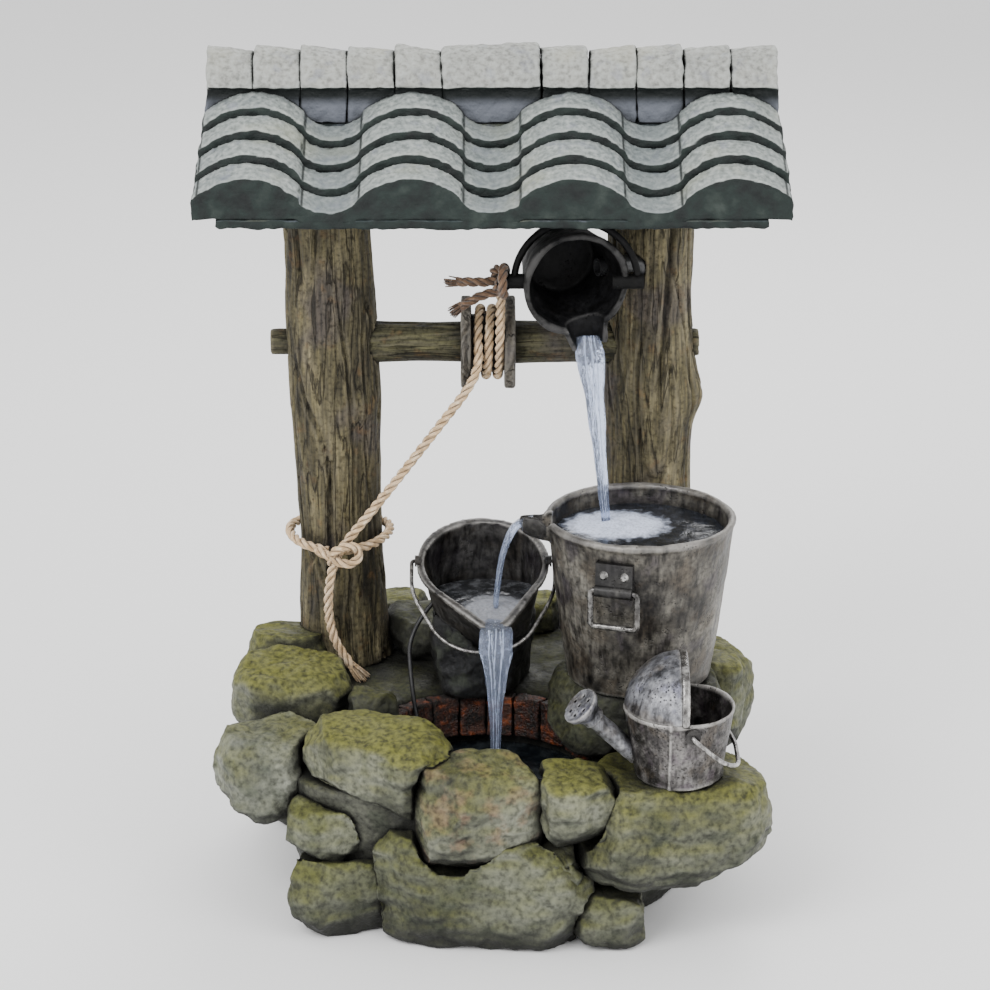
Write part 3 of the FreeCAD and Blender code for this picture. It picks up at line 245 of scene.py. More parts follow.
def rockFinish(name, look):
    material, shader, place = newMaterial(name, specular=0.3)
    spots, wornAndShaded = mottle(place, look["scale"]), rubAndShade(0.045, 0.12)
    base = ramp(spots["Broad"], (0.32, look["dark"]), (0.48, look["mid"]), (0.68, look["light"]))
    base = tint(base, band(spots["Middle"], 0.50, 0.66), look["tintShare"], look["tint"])
    base = tint(base, wornAndShaded["Edge"], 0.5, look["edge"])
    base = speckle(base, 0.75, spots["Fine"],
                   (0.33, (0.36, 0.36, 0.34)), (0.5, white), (0.68, (1.45, 1.45, 1.40)))
    green = useGroup(moss, {"Vector": place, "Scale": 17.0, "Amount": look["moss"]})["Mask"]
    mossColour = ramp(spots["Fine"], (0.3, look["mossDark"]), (0.62, look["mossLight"]))
    base = tint(base, green, 0.85, mossColour)
    # painted shade on the faces that look down, and dark wash with painted shade in the hollows
    under = band(facingUp(), -0.65, -0.10, 0.85, 0.0)
    dark = calc("MAXIMUM", calc("MULTIPLY", wornAndShaded["Hollow"], 0.94), under)
    base = mix(dark, base, look["hollow"])
    rough = band(spots["Middle"], 0.3, 0.7, 0.5, 0.85)
    wire(shader, base, rough, mix(0.55, spots["Fine"], spots["Middle"]), 0.0036, 0.8)
    return material


rockLook = {
    "scale": 15.0, "dark": (0.028, 0.030, 0.021), "mid": (0.084, 0.088, 0.063), "light": (0.19, 0.196, 0.153),
    "edge": (0.27, 0.277, 0.225), "tint": (0.048, 0.055, 0.040), "tintShare": 0.55,
    "hollow": (0.007, 0.007, 0.006), "moss": 0.63, "mossDark": (0.030, 0.031, 0.006),
    "mossLight": (0.150, 0.150, 0.024),
}
# darker copies of the rock that paint shade on the pieces that sit in shadow, the black one deepest
shadedRock = {
    "dark": (0.009, 0.0095, 0.0075), "mid": (0.027, 0.028, 0.022), "light": (0.074, 0.076, 0.060),
    "edge": (0.12, 0.122, 0.10), "moss": 0.55, "mossDark": (0.010, 0.011, 0.003),
    "mossLight": (0.052, 0.054, 0.010),
}
rockChanges = {
    "rockGrey": {},
    "rockPale": {"dark": (0.062, 0.066, 0.052), "mid": (0.15, 0.157, 0.125), "light": (0.28, 0.29, 0.245),
                 "moss": 0.54},
    "rockBrown": {"tint": (0.19, 0.12, 0.08), "tintShare": 0.65, "moss": 0.60},
    "rockGreen": {"moss": 0.74},
    "rockFoot": {"mid": (0.066, 0.070, 0.050), "light": (0.15, 0.156, 0.12), "moss": 0.66,
                 "mossLight": (0.115, 0.12, 0.02)},
    "rockInShade": shadedRock,
    "rockInDeepShade": {**shadedRock, "dark": (0.004, 0.004, 0.005), "mid": (0.009, 0.009, 0.010),
                  "light": (0.026, 0.027, 0.028), "moss": 0.25, "edge": (0.05, 0.05, 0.05)},
}
rocks = {name: rockFinish(name, {**rockLook, **change}) for name, change in rockChanges.items()}


def woodFinish(name, look):
    material, shader, place = newMaterial(name, specular=0.25)
    turned = put("Mapping", {"Vector": place, "Rotation": look["turn"]}).outputs[0]
    lines = useGroup(wood, {"Vector": turned})
    spots, wornAndShaded = mottle(place, 20.0), rubAndShade(0.012, 0.08)
    base = ramp(lines["Band"], (0.3, look["dark"]), (0.5, look["mid"]), (0.7, look["light"]))
    base = tint(base, band(spots["Broad"], 0.54, 0.68), 0.5, look["patch"])
    base = tint(base, band(spots["Middle"], 0.57, 0.70), 0.4, look["rust"])
    base = speckle(base, 0.85, lines["Fibre"],
                   (0.33, (0.38, 0.38, 0.38)), (0.5, (0.9, 0.9, 0.9)), (0.68, (1.5, 1.48, 1.4)))
    base = speckle(base, 0.75, spots["Fine"],
                   (0.32, (0.35, 0.33, 0.31)), (0.48, white), (0.7, (1.35, 1.32, 1.25)))
    base = tint(base, wornAndShaded["Edge"], 0.5, look["edge"])
    # dark cracks, and dark wash with painted shade in the hollows, both in the split colour
    split, hollow = (calc("MULTIPLY", mask, share)
                     for mask, share in ((lines["Split"], 0.6), (wornAndShaded["Hollow"], 0.85)))
    base = mix(calc("MAXIMUM", split, hollow), base, look["split"])
    rough = band(lines["Fibre"], 0.3, 0.7, 0.6, 0.9)
    height = calc("SUBTRACT", mix(0.4, lines["Fibre"], spots["Fine"]), lines["Split"])
    wire(shader, base, rough, height, 0.003, 0.8)
    return material


logLook = {
    "turn": (0.0, 0.0, 0.0), "dark": (0.024, 0.021, 0.014), "mid": (0.090, 0.078, 0.043),
    "light": (0.19, 0.165, 0.10), "patch": (0.060, 0.050, 0.058), "rust": (0.125, 0.070, 0.028),
    "edge": (0.25, 0.22, 0.15), "split": (0.006, 0.005, 0.004),
}
woodChanges = {
    "logWood": {},
    "axleWood": {"turn": (0.0, 0.5 * math.pi, 0.0), "mid": (0.055, 0.052, 0.030),
                 "light": (0.10, 0.095, 0.05)},
    "discWood": {"mid": (0.10, 0.09, 0.076), "light": (0.20, 0.185, 0.16), "rust": (0.075, 0.062, 0.05),
                 "edge": (0.32, 0.30, 0.265)},
}
woods = {name: woodFinish(name, {**logLook, **change}) for name, change in woodChanges.items()}


# pale weathered faces, painted shade on the steep faces and in the hollows, and a dark joint between the
# columns
def tileFinish(name, look):
    material, shader, place = newMaterial(name, specular=0.3)
    spots, wornAndShaded = mottle(place, 17.0), rubAndShade(0.011, 0.08)
    strokes = cloud(stretched(place, (0.12, 1.0, 1.0)), 210.0, 4.0)
    pale = ramp(spots["Broad"], (0.3, look["cool"]), (0.52, look["pale"]), (0.72, look["warm"]))
    flecks = ramp(spots["Fine"], (0.3, look["speck"]), (0.5, look["pale"]), (0.7, look["light"]))
    pale = mix(0.6, pale, flecks)
    for spot, low, high, colour in (
            (spots["Broad"], 0.55, 0.68, "lichen"), (spots["Middle"], 0.56, 0.70, "violet"),
            (strokes, 0.5, 0.72, "stroke")):
        pale = tint(pale, band(spot, low, high), 0.4, look[colour])
    pale = tint(pale, wornAndShaded["Edge"], 0.6, look["light"])
    # steep faces take dark painted shade in place of the pale tile colour
    edge = band(facingUp(), *look["steep"], 1.0, 0.0)
    shades = (0.35, look["shadeAndJointDark"]), (0.55, look["steepShade"]), (0.75, look["steepShadeLight"])
    steepShade = ramp(spots["Middle"], *shades)
    base = mix(edge, pale, steepShade)
    if look["joint"]:
        shifted = calc("SUBTRACT", axisOf(place, "X"), look["firstCover"])
        away = calc("PINGPONG", shifted, look["halfPitch"])
        off = calc("SUBTRACT", away, look["coverHalf"])
        face = calc("SUBTRACT", 1.0, edge)
        joint = band(calc("ABSOLUTE", off), 0.0003, look["joint"], 0.85, 0.0)
        shade = band(off, -0.001, 0.012, 0.0, 0.45)
        base = tint(base, shade, face, look["cool"])
        base = tint(base, joint, face, look["shadeAndJointDark"])
    if look["lip"]:  # the wall below the ridge, painted as shadow: darkest just under the lip, paler lower down
        level = axisOf(place, "Z")
        high = band(level, look["lip"] - 0.015, look["lip"] - 0.005)
        below = band(level, look["lip"] - 0.0015, look["lip"] - 0.0003, 1.0, 0.0)
        base = mix(below, base, mix(high, look["under"], look["shadeAndJointDark"]))
    # dark wash with painted shade in the hollows, under each course's lip
    base = tint(base, wornAndShaded["Hollow"], 0.92, look["shadeAndJointDark"])
    rough = band(spots["Middle"], 0.3, 0.7, 0.6, 0.85)
    wire(shader, base, rough, mix(0.35, spots["Fine"], strokes), 0.0026, 0.85)
    return material


tileLook = {
    "cool": (0.135, 0.160, 0.170), "pale": (0.25, 0.275, 0.262), "warm": (0.29, 0.305, 0.26),
    "light": (0.44, 0.46, 0.44), "speck": (0.085, 0.098, 0.096), "stroke": (0.16, 0.185, 0.19),
    "lichen": (0.27, 0.28, 0.20), "violet": (0.19, 0.20, 0.25), "shadeAndJointDark": (0.004, 0.006, 0.006),
    "steepShade": (0.013, 0.020, 0.018), "steepShadeLight": (0.034, 0.044, 0.039), "steep": (0.36, 0.56),
    "joint": 0.0014, "lip": 0.0, "firstCover": -0.1695, "halfPitch": 0.0565, "coverHalf": 0.0365,
}
ridgeLip = 0.5804
tileChanges = {
    "roofTile": {},
    "ridgeTile": {"cool": (0.22, 0.23, 0.225), "pale": (0.32, 0.325, 0.30), "speck": (0.10, 0.10, 0.092),
                  "stroke": (0.28, 0.28, 0.25), "lichen": (0.36, 0.35, 0.28), "steep": (-0.6, -0.3),
                  "joint": 0.0, "lip": ridgeLip, "under": (0.12, 0.13, 0.155)},
    "roofBoard": {"pale": (0.022, 0.034, 0.036), "cool": (0.014, 0.022, 0.024), "warm": (0.028, 0.034, 0.03),
                  "light": (0.05, 0.062, 0.062), "speck": (0.010, 0.015, 0.016),
                  "stroke": (0.015, 0.024, 0.024), "joint": 0.0},
}
tiles = {name: tileFinish(name, {**tileLook, **change}) for name, change in tileChanges.items()}

brickLook = {"soot": (0.008, 0.005, 0.004), "dull": (0.045, 0.013, 0.007), "bright": (0.28, 0.065, 0.015),
             "dust": (0.17, 0.075, 0.035), "gapWashShade": (0.010, 0.008, 0.007)}


def brickFinish(name, look):
    material, shader, place = newMaterial(name)
    spots, wornAndShaded = mottle(place, 34.0), rubAndShade(0.012, 0.08)
    base = ramp(spots["Middle"], (0.40, look["soot"]), (0.56, look["dull"]), (0.72, look["bright"]))
    base = tint(base, band(spots["Fine"], 0.52, 0.7), 0.4, look["dust"])
    # dark wash and painted shade in the gaps between the bricks
    base = tint(base, wornAndShaded["Hollow"], 0.85, look["gapWashShade"])
    wire(shader, base, band(spots["Broad"], 0.35, 0.65, 0.35, 0.75), spots["Fine"], 0.003, 0.8)
    return material


# antiqued metal: dark wash with painted shade in the hollows, bright where it is rubbed
def metalFinish(name, look):
    material, shader, place = newMaterial(name, look["shine"], look["metallic"])
    spots, wornAndShaded = mottle(place, look["scale"]), rubAndShade(0.010, look["sharp"])
    dots = useGroup(pits, {"Vector": place, "Scale": 420.0, "Amount": look["pitted"]})["Mask"]
    streaks = cloud(stretched(place, (1.0, 1.0, 0.16)), 230.0, 7.0, {"Roughness": 0.62})
    stains = cloud(place, 2.6 * look["scale"], 5.0)
    grime = mix(0.55, spots["Middle"], streaks)
    base = ramp(spots["Broad"], (0.36, look["dark"]), (0.5, look["mid"]), (0.66, look["light"]))
    for spot, low, high, share, colour in (
            (spots["Middle"], 0.42, 0.7, 0.6, "light"), (stains, 0.52, 0.66, 0.55, "brown"),
            (stains, 0.46, 0.34, 0.55, "purple"), (grime, 0.48, 0.38, 0.55, "dark")):
        base = tint(base, band(spot, low, high), share, look[colour])
    for spot in (spots["Fine"], streaks):
        base = speckle(base, 0.7, spot, (0.34, (0.34, 0.33, 0.32)), (0.5, white), (0.66, (1.5, 1.5, 1.46)))
    patches = band(spots["Middle"], 0.34, 0.52, look["patchy"], 0.85)
    base = tint(base, wornAndShaded["Edge"], patches, look["rubbed"])
    # dark pits, and dark wash with painted shade in the hollows
    base = tint(base, calc("MAXIMUM", dots, wornAndShaded["Hollow"]), 0.85, look["washAndShade"])
    rough = band(mix(0.5, spots["Middle"], streaks), 0.35, 0.65, *look["gloss"])
    height = calc("SUBTRACT", mix(0.5, spots["Fine"], spots["Middle"]), dots)
    wire(shader, base, rough, height, 0.0016, 0.55)
    return material


pewterLook = {
    "metallic": 0.45, "shine": 0.5, "scale": 16.0, "sharp": 0.11, "patchy": 0.5, "pitted": 0.48,
    "dark": (0.013, 0.0115, 0.011), "mid": (0.064, 0.058, 0.049), "light": (0.175, 0.164, 0.142),
    "rubbed": (0.60, 0.58, 0.55), "brown": (0.060, 0.046, 0.032), "purple": (0.044, 0.036, 0.045),
    "washAndShade": (0.005, 0.0045, 0.005), "gloss": (0.32, 0.58),
}
unrubbed = 30.0  # keeps the wear off pieces whose faces all meet at sharp edges
ironLook = {
    "metallic": 0.1, "shine": 0.16, "mid": (0.004, 0.004, 0.0045), "light": (0.010, 0.010, 0.011),
    "dark": (0.002, 0.002, 0.002), "brown": (0.005, 0.0045, 0.004), "purple": (0.004, 0.004, 0.005),
    "washAndShade": (0.001, 0.001, 0.001), "rubbed": (0.22, 0.215, 0.21), "sharp": 0.16, "patchy": 0.0,
    "gloss": (0.5, 0.75),
}
metalChanges = {
    "pewter": {},
    "canPewter": {"scale": 26.0, "mid": (0.052, 0.047, 0.047), "light": (0.20, 0.19, 0.185),
                  "purple": (0.060, 0.042, 0.060), "pitted": 0.58, "sharp": 0.07},
    "panPewter": {"mid": (0.028, 0.026, 0.026), "light": (0.085, 0.082, 0.08), "dark": (0.007, 0.0065, 0.007),
                  "brown": (0.026, 0.020, 0.014), "purple": (0.018, 0.014, 0.020), "sharp": 0.10,
                  "patchy": 0.3},
    "darkPewter": {"mid": (0.018, 0.017, 0.017), "light": (0.060, 0.057, 0.054),
                   "dark": (0.006, 0.006, 0.006), "brown": (0.024, 0.018, 0.013),
                   "purple": (0.014, 0.012, 0.015), "sharp": unrubbed},
    "blackIron": ironLook,
    "blackRod": {**ironLook, "sharp": unrubbed},
    "brightWire": {"metallic": 0.85, "mid": (0.20, 0.195, 0.19), "light": (0.42, 0.41, 0.40),
                   "dark": (0.06, 0.058, 0.057), "brown": (0.16, 0.15, 0.14), "purple": (0.12, 0.11, 0.12),
                   "sharp": unrubbed, "gloss": (0.2, 0.4)},
    "paleTin": {"mid": (0.085, 0.087, 0.098), "light": (0.29, 0.294, 0.32), "dark": (0.018, 0.018, 0.021),
                "brown": (0.14, 0.12, 0.10), "purple": (0.08, 0.08, 0.14), "pitted": 0.55,
                "gloss": (0.28, 0.5)},
}
metals = {name: metalFinish(name, {**pewterLook, **change}) for name, change in metalChanges.items()}


def ropeFinish(name, look):
    material, shader, place = newMaterial(name, specular=0.2)
    spots, wornAndShaded = mottle(place, 45.0), rubAndShade(0.004, 0.12)
    lay = put("UVMap", uv_map="lay").outputs[0]
    waves = {"Vector": lay, "Scale": look["yarns"], "Distortion": 1.2, "Detail": 2.0, "Detail Scale": 2.0}
    yarn = put("TexWave", waves, wave_type="BANDS", bands_direction="DIAGONAL").outputs[1]
    base = ramp(spots["Middle"], (0.3, look["dark"]), (0.5, look["mid"]), (0.7, look["light"]))
    base = tint(base, band(yarn, 0.2, 0.8, 1.0, 0.0), 0.4, look["dark"])
    # dark wash and painted shade in the creases between the strands
    base = tint(base, wornAndShaded["Hollow"], 0.8, look["crease"])
    wire(shader, base, 0.85, mix(0.5, yarn, spots["Fine"]), 0.0012, 0.8)
    shader.inputs["Sheen Weight"].default_value = 0.25
    shader.inputs["Sheen Roughness"].default_value = 0.6
    return material


strawRope = ropeFinish("strawRope", {
    "yarns": 2.2, "dark": (0.45, 0.30, 0.155), "mid": (0.74, 0.53, 0.315), "light": (0.92, 0.74, 0.52),
    "crease": (0.12, 0.072, 0.036)})
tiedRope = ropeFinish("tiedRope", {
    "yarns": 2.2, "dark": (0.06, 0.032, 0.018), "mid": (0.135, 0.075, 0.04), "light": (0.26, 0.155, 0.09),
    "crease": (0.015, 0.009, 0.006)})


def plainFinish(name, colour, deep, roughness, scale, specular=0.5):
    material, shader, place = newMaterial(name, specular)
    spots, wornAndShaded = mottle(place, scale), rubAndShade(0.006, 0.1)
    base = mix(band(spots["Middle"], 0.35, 0.65), deep, colour)
    # darker in the hollows: painted shade
    base = tint(base, wornAndShaded["Hollow"], 0.6, tuple(0.4 * c for c in deep))
    rough = band(spots["Broad"], 0.3, 0.7, roughness - 0.08, roughness + 0.1)
    wire(shader, base, rough, spots["Fine"], 0.0006, 0.4)
    return material


pumpPlastic = plainFinish("pumpPlastic", (0.022, 0.023, 0.025), (0.012, 0.012, 0.013), 0.45, 60.0)
blackRubber = plainFinish("blackRubber", (0.02, 0.02, 0.02), (0.010, 0.010, 0.010), 0.6, 90.0, 0.3)
leadSheath = plainFinish("leadSheath", (0.008, 0.008, 0.009), (0.004, 0.004, 0.005), 0.4, 120.0)
hoseFinish = plainFinish("hoseFinish", (0.026, 0.027, 0.028), (0.014, 0.014, 0.015), 0.35, 40.0)


def lampFinish():
    material, shader, place = newMaterial("lampLens")
    spots = mottle(place, 60.0)
    glow = ramp(spots["Middle"], (0.3, (0.55, 0.68, 1.0)), (0.7, (0.9, 0.95, 1.0)))
    for socket, value in (("Base Color", glow), ("Emission Color", glow), ("Emission Strength", 0.5),
                          ("Roughness", 0.15)):
        link(value, shader.inputs[socket])
    return material


lampLens = lampFinish()
print("finishes made")


# tools for the pieces
def pickOnly(piece):
    bpy.ops.object.select_all(action="DESELECT")
    piece.select_set(True)
    bpy.context.view_layer.objects.active = piece


def applyModifier(piece, kind, **settings):
    modifier = piece.modifiers.new(kind.lower(), kind)
    for key, value in settings.items():
        setattr(modifier, key, value)
    pickOnly(piece)
    bpy.ops.object.modifier_apply(modifier=modifier.name)


# runs an edit-mode operator on all of a piece, or on the picked vertices or faces
def inEdit(piece, step, settings, kind=None, picked=None):
    pickOnly(piece)
    bpy.ops.object.mode_set(mode="EDIT")
    bpy.ops.mesh.select_all(action="DESELECT" if kind else "SELECT")
    if kind:
        bpy.ops.mesh.select_mode(type=kind)
        bpy.ops.object.mode_set(mode="OBJECT")
        chosen = piece.data.vertices if kind == "VERT" else piece.data.polygons
        chosen.foreach_set("select", picked)
        bpy.ops.object.mode_set(mode="EDIT")
    getattr(bpy.ops.mesh, step)(**settings)
    bpy.ops.object.mode_set(mode="OBJECT")


def dress(piece, material, body, slot, *replaced):
    piece.data.materials.clear()
    piece.data.materials.append(material)
    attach(piece, body)
    if replaced:
        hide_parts(*replaced)


def joinAll(pieces):
    pickOnly(pieces[0])
    for piece in pieces[1:]:
        piece.select_set(True)
    if len(pieces) > 1:
        bpy.ops.object.join()


# which solid each triangle of a node belongs to: triangles that share an edge, nearest in order first
def solidOf(mesh):
    corners = [tuple(round(c, 5) for c in vertex.co) for vertex in mesh.vertices]
    sharing = {}
    for face in mesh.polygons:
        ring = [corners[i] for i in face.vertices]
        for i, corner in enumerate(ring):
            sharing.setdefault(frozenset((corner, ring[i - 1])), []).append(face.index)
    owner = list(range(len(mesh.polygons)))

    def root(i):
        while owner[i] != i:
            owner[i] = owner[owner[i]]
            i = owner[i]
        return i

    for faces in sharing.values():
        for first, second in zip(faces[::2], faces[1::2]):
            owner[root(first)] = root(second)
    return [root(i) for i in range(len(owner))]


# a merged copy of a node, each of its solids remeshed by itself
def copyNode(node, name, voxel, shape=None):
    piece = bpy.data.objects.new(name, nodes[node].data.copy())
    scene.collection.objects.link(piece)
    before = set(bpy.data.objects)
    owners = solidOf(piece.data)
    piece.data.attributes.new("solid", "INT", "FACE").data.foreach_set("value", owners)
    for owner in sorted(set(owners))[1:]:
        picked = [value.value == owner for value in piece.data.attributes["solid"].data]
        inEdit(piece, "separate", {"type": "SELECTED"}, "FACE", picked)
    solids = [piece] + [other for other in bpy.data.objects if other not in before]
    print("%s: %d solids" % (node, len(solids)))
    for i, solid in enumerate(solids):
        inEdit(solid, "remove_doubles", {"threshold": 1e-5})
        applyModifier(solid, "REMESH", mode="VOXEL", voxel_size=voxel, use_smooth_shade=True)
        if shape:
            shape(solid, i)
    joinAll(solids)
    return piece


def rough(piece, depthAt, floor=None):
    mesh = piece.data
    moves = [vertex.normal * depthAt(vertex.co, vertex.normal) for vertex in mesh.vertices]
    for vertex, move in zip(mesh.vertices, moves):
        vertex.co += move
        if floor is not None:
            vertex.co.z = max(vertex.co.z, floor)
    mesh.update()


def ripple(point, size, shift=0.0):
    return noise.noise(Vector((point.x / size + shift, point.y / size - shift, point.z / size + 2.0 * shift)))


def unit(value):
    return min(1.0, max(0.0, value))


def middleOf(points):
    return sum((point.co for point in points), Vector()) / len(points)


# stones: flat chipped faces, bedding lines and small pits
# the dark and black rock finishes paint shade on the stones that sit in shadow
stonePieces = {
    "rim_stone_front": "rockBrown", "rim_stone_front_left": "rockGreen", "rim_stone_front_right": "rockGreen",
    "rim_stone_right": "rockGrey", "rim_stone_left": "rockPale", "rim_stone_left_rear": "rockGreen",
    "rim_stone_right_rear": "rockGrey", "bucket_stone": "rockInShade", "ledge_stones": "rockInShade",
    "scuttle_stone": "rockInDeepShade", "front_foot_stones": "rockFoot", "rear_rim_stones": "rockGreen",
    "rear_foot_stones": "rockFoot",
}
stoneShape = {
    "voxel": 0.0026, "faces": 15, "shave": (0.05, 0.17), "most": 0.0065, "flatness": 0.92,
    "chip": 0.030, "chipDepth": 0.0016, "bed": 0.016, "bedDepth": 0.0013, "pit": 0.0055, "pitDepth": 0.0006,
    "rimZ": 0.055, "heart": Vector((-0.005, -0.04)), "undercut": 0.010, "outward": 0.55, "downward": -0.83,
}


def shaveStone(solid, i):
    s = stoneShape
    points = solid.data.vertices
    rng = random.Random(len(points) + 17 * i)
    middle = middleOf(points)
    ways = [Vector((rng.gauss(0.0, 0.16), rng.gauss(-0.05, 0.16), 1.0))]
    for k in range(s["faces"]):
        ways.append(Vector((rng.gauss(0.0, 1.0), rng.gauss(0.0, 1.0), rng.gauss(0.0, 0.6))))
    cuts = [s["most"]] * len(ways)
    if middle.z > s["rimZ"]:  # the rim's stones hang over like slabs
        away = s["outward"] * (middle.xy - s["heart"]).normalized()
        ways.append(Vector((away.x, away.y, s["downward"])))
        cuts.append(s["undercut"])
    for way, most in zip(ways, cuts):
        way.normalize()
        out = max(point.co.dot(way) for point in points)
        share = rng.uniform(*s["shave"]) if most == s["most"] else 1.0
        flat = out - min(most, share * (out - middle.dot(way)))
        for point in points:
            over = point.co.dot(way) - flat
            if over > 0.0:
                point.co -= s["flatness"] * over * way
    solid.data.update()


def stoneDepth(point, normal):
    s = stoneShape
    near = noise.voronoi(point / s["chip"])[0]
    chip = min(near[1] - near[0], 0.3) / 0.3 - 0.8
    bed = ripple(Vector((0.25 * point.x, 0.25 * point.y, point.z)), s["bed"] * 0.4, 3.1)
    lump = ripple(point, s["bed"] * 1.6, 1.7)
    pit = ripple(point, s["pit"], 0.4)
    return s["chipDepth"] * chip + s["bedDepth"] * (bed + lump) + s["pitDepth"] * pit


for node, finish in stonePieces.items():
    piece = copyNode(node, node.replace("stone", "rock"), stoneShape["voxel"], shaveStone)
    rough(piece, stoneDepth, floor=0.0)
    dress(piece, rocks[finish], "well", "rock", node)
print("stones carved")

baseShape = {"voxel": 0.0038, "depth": 0.8}
casting = copyNode("base_casting", "rockBase", baseShape["voxel"])
rough(casting, lambda point, normal: baseShape["depth"] * stoneDepth(point, normal), floor=0.0)
dress(casting, rocks["rockInShade"], "well", "rock", "base_casting")

brickShape = {"voxel": 0.0016, "lump": 0.008, "lumpDepth": 0.0011, "pit": 0.003, "pitDepth": 0.0006}


def brickDepth(point, normal):
    s = brickShape
    return s["lumpDepth"] * ripple(point, s["lump"]) + s["pitDepth"] * ripple(point, s["pit"], 5.0)


bricks = copyNode("pool_bricks", "poolBrickRow", brickShape["voxel"])
rough(bricks, brickDepth)
dress(bricks, brickFinish("wetBrick", brickLook), "well", "brick", "pool_bricks")
print("base and bricks done")


# logs: long ridges, drying cracks and knots
logShape = {
    "voxel": 0.0019, "ridge": 0.0055, "stretch": 0.12, "ridgeDepth": 0.0010, "crack": 0.02,
    "crackDepth": 0.0028, "lump": 0.06, "lumpDepth": 0.0022, "waver": 0.012, "waverDepth": 0.0012,
}


def logDepth(point, along):
    s = logShape
    squeezed = Vector([c * (s["stretch"] if i == along else 1.0) for i, c in enumerate(point)])
    ridge = 1.0 - 2.0 * abs(ripple(squeezed, s["ridge"], 0.7))
    fine = ripple(squeezed, 0.6 * s["ridge"], 2.2)
    split = max(0.0, 1.0 - abs(ripple(squeezed, s["crack"], 4.4)) / 0.05)
    lump = ripple(point, s["lump"], 1.3)
    return s["ridgeDepth"] * (0.6 * ridge + 0.5 * fine) - s["crackDepth"] * split + s["lumpDepth"] * lump


# knot: place, size and height; crack: top and foot in X and Z, width and depth
posts = {
    "left_post": {"knot": ((-0.098, 0.05, 0.34), 0.012, 0.003),
                  "crack": ((-0.120, 0.30), (-0.124, 0.17), 0.0018, 0.0035)},
    "right_post": {"knot": ((0.150, 0.066, 0.345), 0.016, 0.006),
                   "crack": ((0.1345, 0.52), (0.1215, 0.325), 0.0021, 0.0055)},
}
for node, post in posts.items():
    piece = copyNode(node, node.replace("post", "log"), logShape["voxel"])

    def postDepth(point, normal):
        spot, size, height = post["knot"]
        away = (point - Vector(spot)).length / size
        depth = logDepth(point, 2) + height * math.exp(-away * away)
        (topX, topZ), (footX, footZ), width, deep = post["crack"]
        share = (point.z - footZ) / (topZ - footZ)
        if normal.y < 0.0 and 0.0 < share < 1.0:
            waver = logShape["waverDepth"] * ripple(point, logShape["waver"])
            away = (point.x - footX - (topX - footX) * share + waver) / width
            depth -= deep * math.exp(-away * away) * min(1.0, 5.0 * share)
        return depth

    rough(piece, postDepth)
    dress(piece, woods["logWood"], "well", "log", node)

# each piece's name, voxel, finish, share of the log's relief and the axis it runs along
for node, name, voxel, finish, share, along in (
        ("windlass_axle", "windlassPole", 0.0017, "axleWood", 0.6, 0),
        ("spool_discs", "spoolCheeks", 0.0013, "discWood", 0.45, 2),
        ("spool_hub", "spoolCore", 0.0013, "discWood", 0.45, 2)):
    piece = copyNode(node, name, voxel)
    rough(piece, lambda point, normal: share * logDepth(point, along))
    dress(piece, woods[finish], "well", "timber", node)
print("logs and windlass done")


# roof: rough cast tiles with chipped edges, the pans a step below the covers
tileShape = {
    "voxel": 0.0019, "wave": 0.022, "waveDepth": 0.0009, "chip": 0.006, "chipDepth": 0.0007,
    "panStep": 0.0024, "panSlope": 0.0030, "eaveSpread": 0.020, "ridgeSpread": -0.012, "ridgeZ": 0.585,
    "eaveZ": 0.515,
}
capShape = {"shrink": 0.985, "lift": 0.0012, "tilt": 0.05, "lean": 0.06, "fade": 200.0}


def castDepth(point, chipping):
    s = tileShape
    chips = chipping * s["chipDepth"] * ripple(point, s["chip"], 0.3)
    return s["waveDepth"] * ripple(point, s["wave"], 2.0) + chips


def tileDepth(point, normal):
    return castDepth(point, 1.0 if abs(normal.z) > 0.45 else 1.6)


def capDepth(point, normal):
    return castDepth(point, 1.4)


def sinkPans(solid, i):
    pitch = 2.0 * tileLook["halfPitch"]
    for point in solid.data.vertices:
        fromCover = abs((point.co.x - tileLook["firstCover"] + 0.5 * pitch) % pitch - 0.5 * pitch)
        share = unit(0.5 + (fromCover - tileLook["coverHalf"]) / tileShape["panSlope"])
        point.co.z -= tileShape["panStep"] * share


def leanCap(solid, i):
    s = capShape
    rng = random.Random(40 + i)
    points = solid.data.vertices
    middle = middleOf(points)
    lift, tilt, lean = (rng.uniform(-s[key], s[key]) for key in ("lift", "tilt", "lean"))
    for point in points:
        above = max(0.0, point.co.z - ridgeLip)
        point.co.x = middle.x + s["shrink"] * (point.co.x - middle.x) + lean * above
        point.co.z += (lift + tilt * (point.co.x - middle.x)) * min(1.0, s["fade"] * above)


# the eave stands out a little wider than the ridge
def spreadRoof(piece):
    s = tileShape
    for vertex in piece.data.vertices:
        down = unit((s["ridgeZ"] - vertex.co.z) / (s["ridgeZ"] - s["eaveZ"]))
        vertex.co.x *= 1.0 + s["ridgeSpread"] + (s["eaveSpread"] - s["ridgeSpread"]) * down


for node, name, finish, slotName, depth, shape in (
        ("front_tile_courses", "frontTiles", "roofTile", "roof_tile", tileDepth, sinkPans),
        ("back_tile_courses", "backTiles", "roofTile", "roof_tile", tileDepth, sinkPans),
        ("ridge_caps", "ridgeTiles", "ridgeTile", "roof_tile", capDepth, leanCap),
        ("roof_shell", "roofBoards", "roofBoard", "roof_board", capDepth, None)):
    piece = copyNode(node, name, tileShape["voxel"], shape)
    rough(piece, depth)
    spreadRoof(piece)
    dress(piece, tiles[finish], "well", slotName, node)
print("roof done")


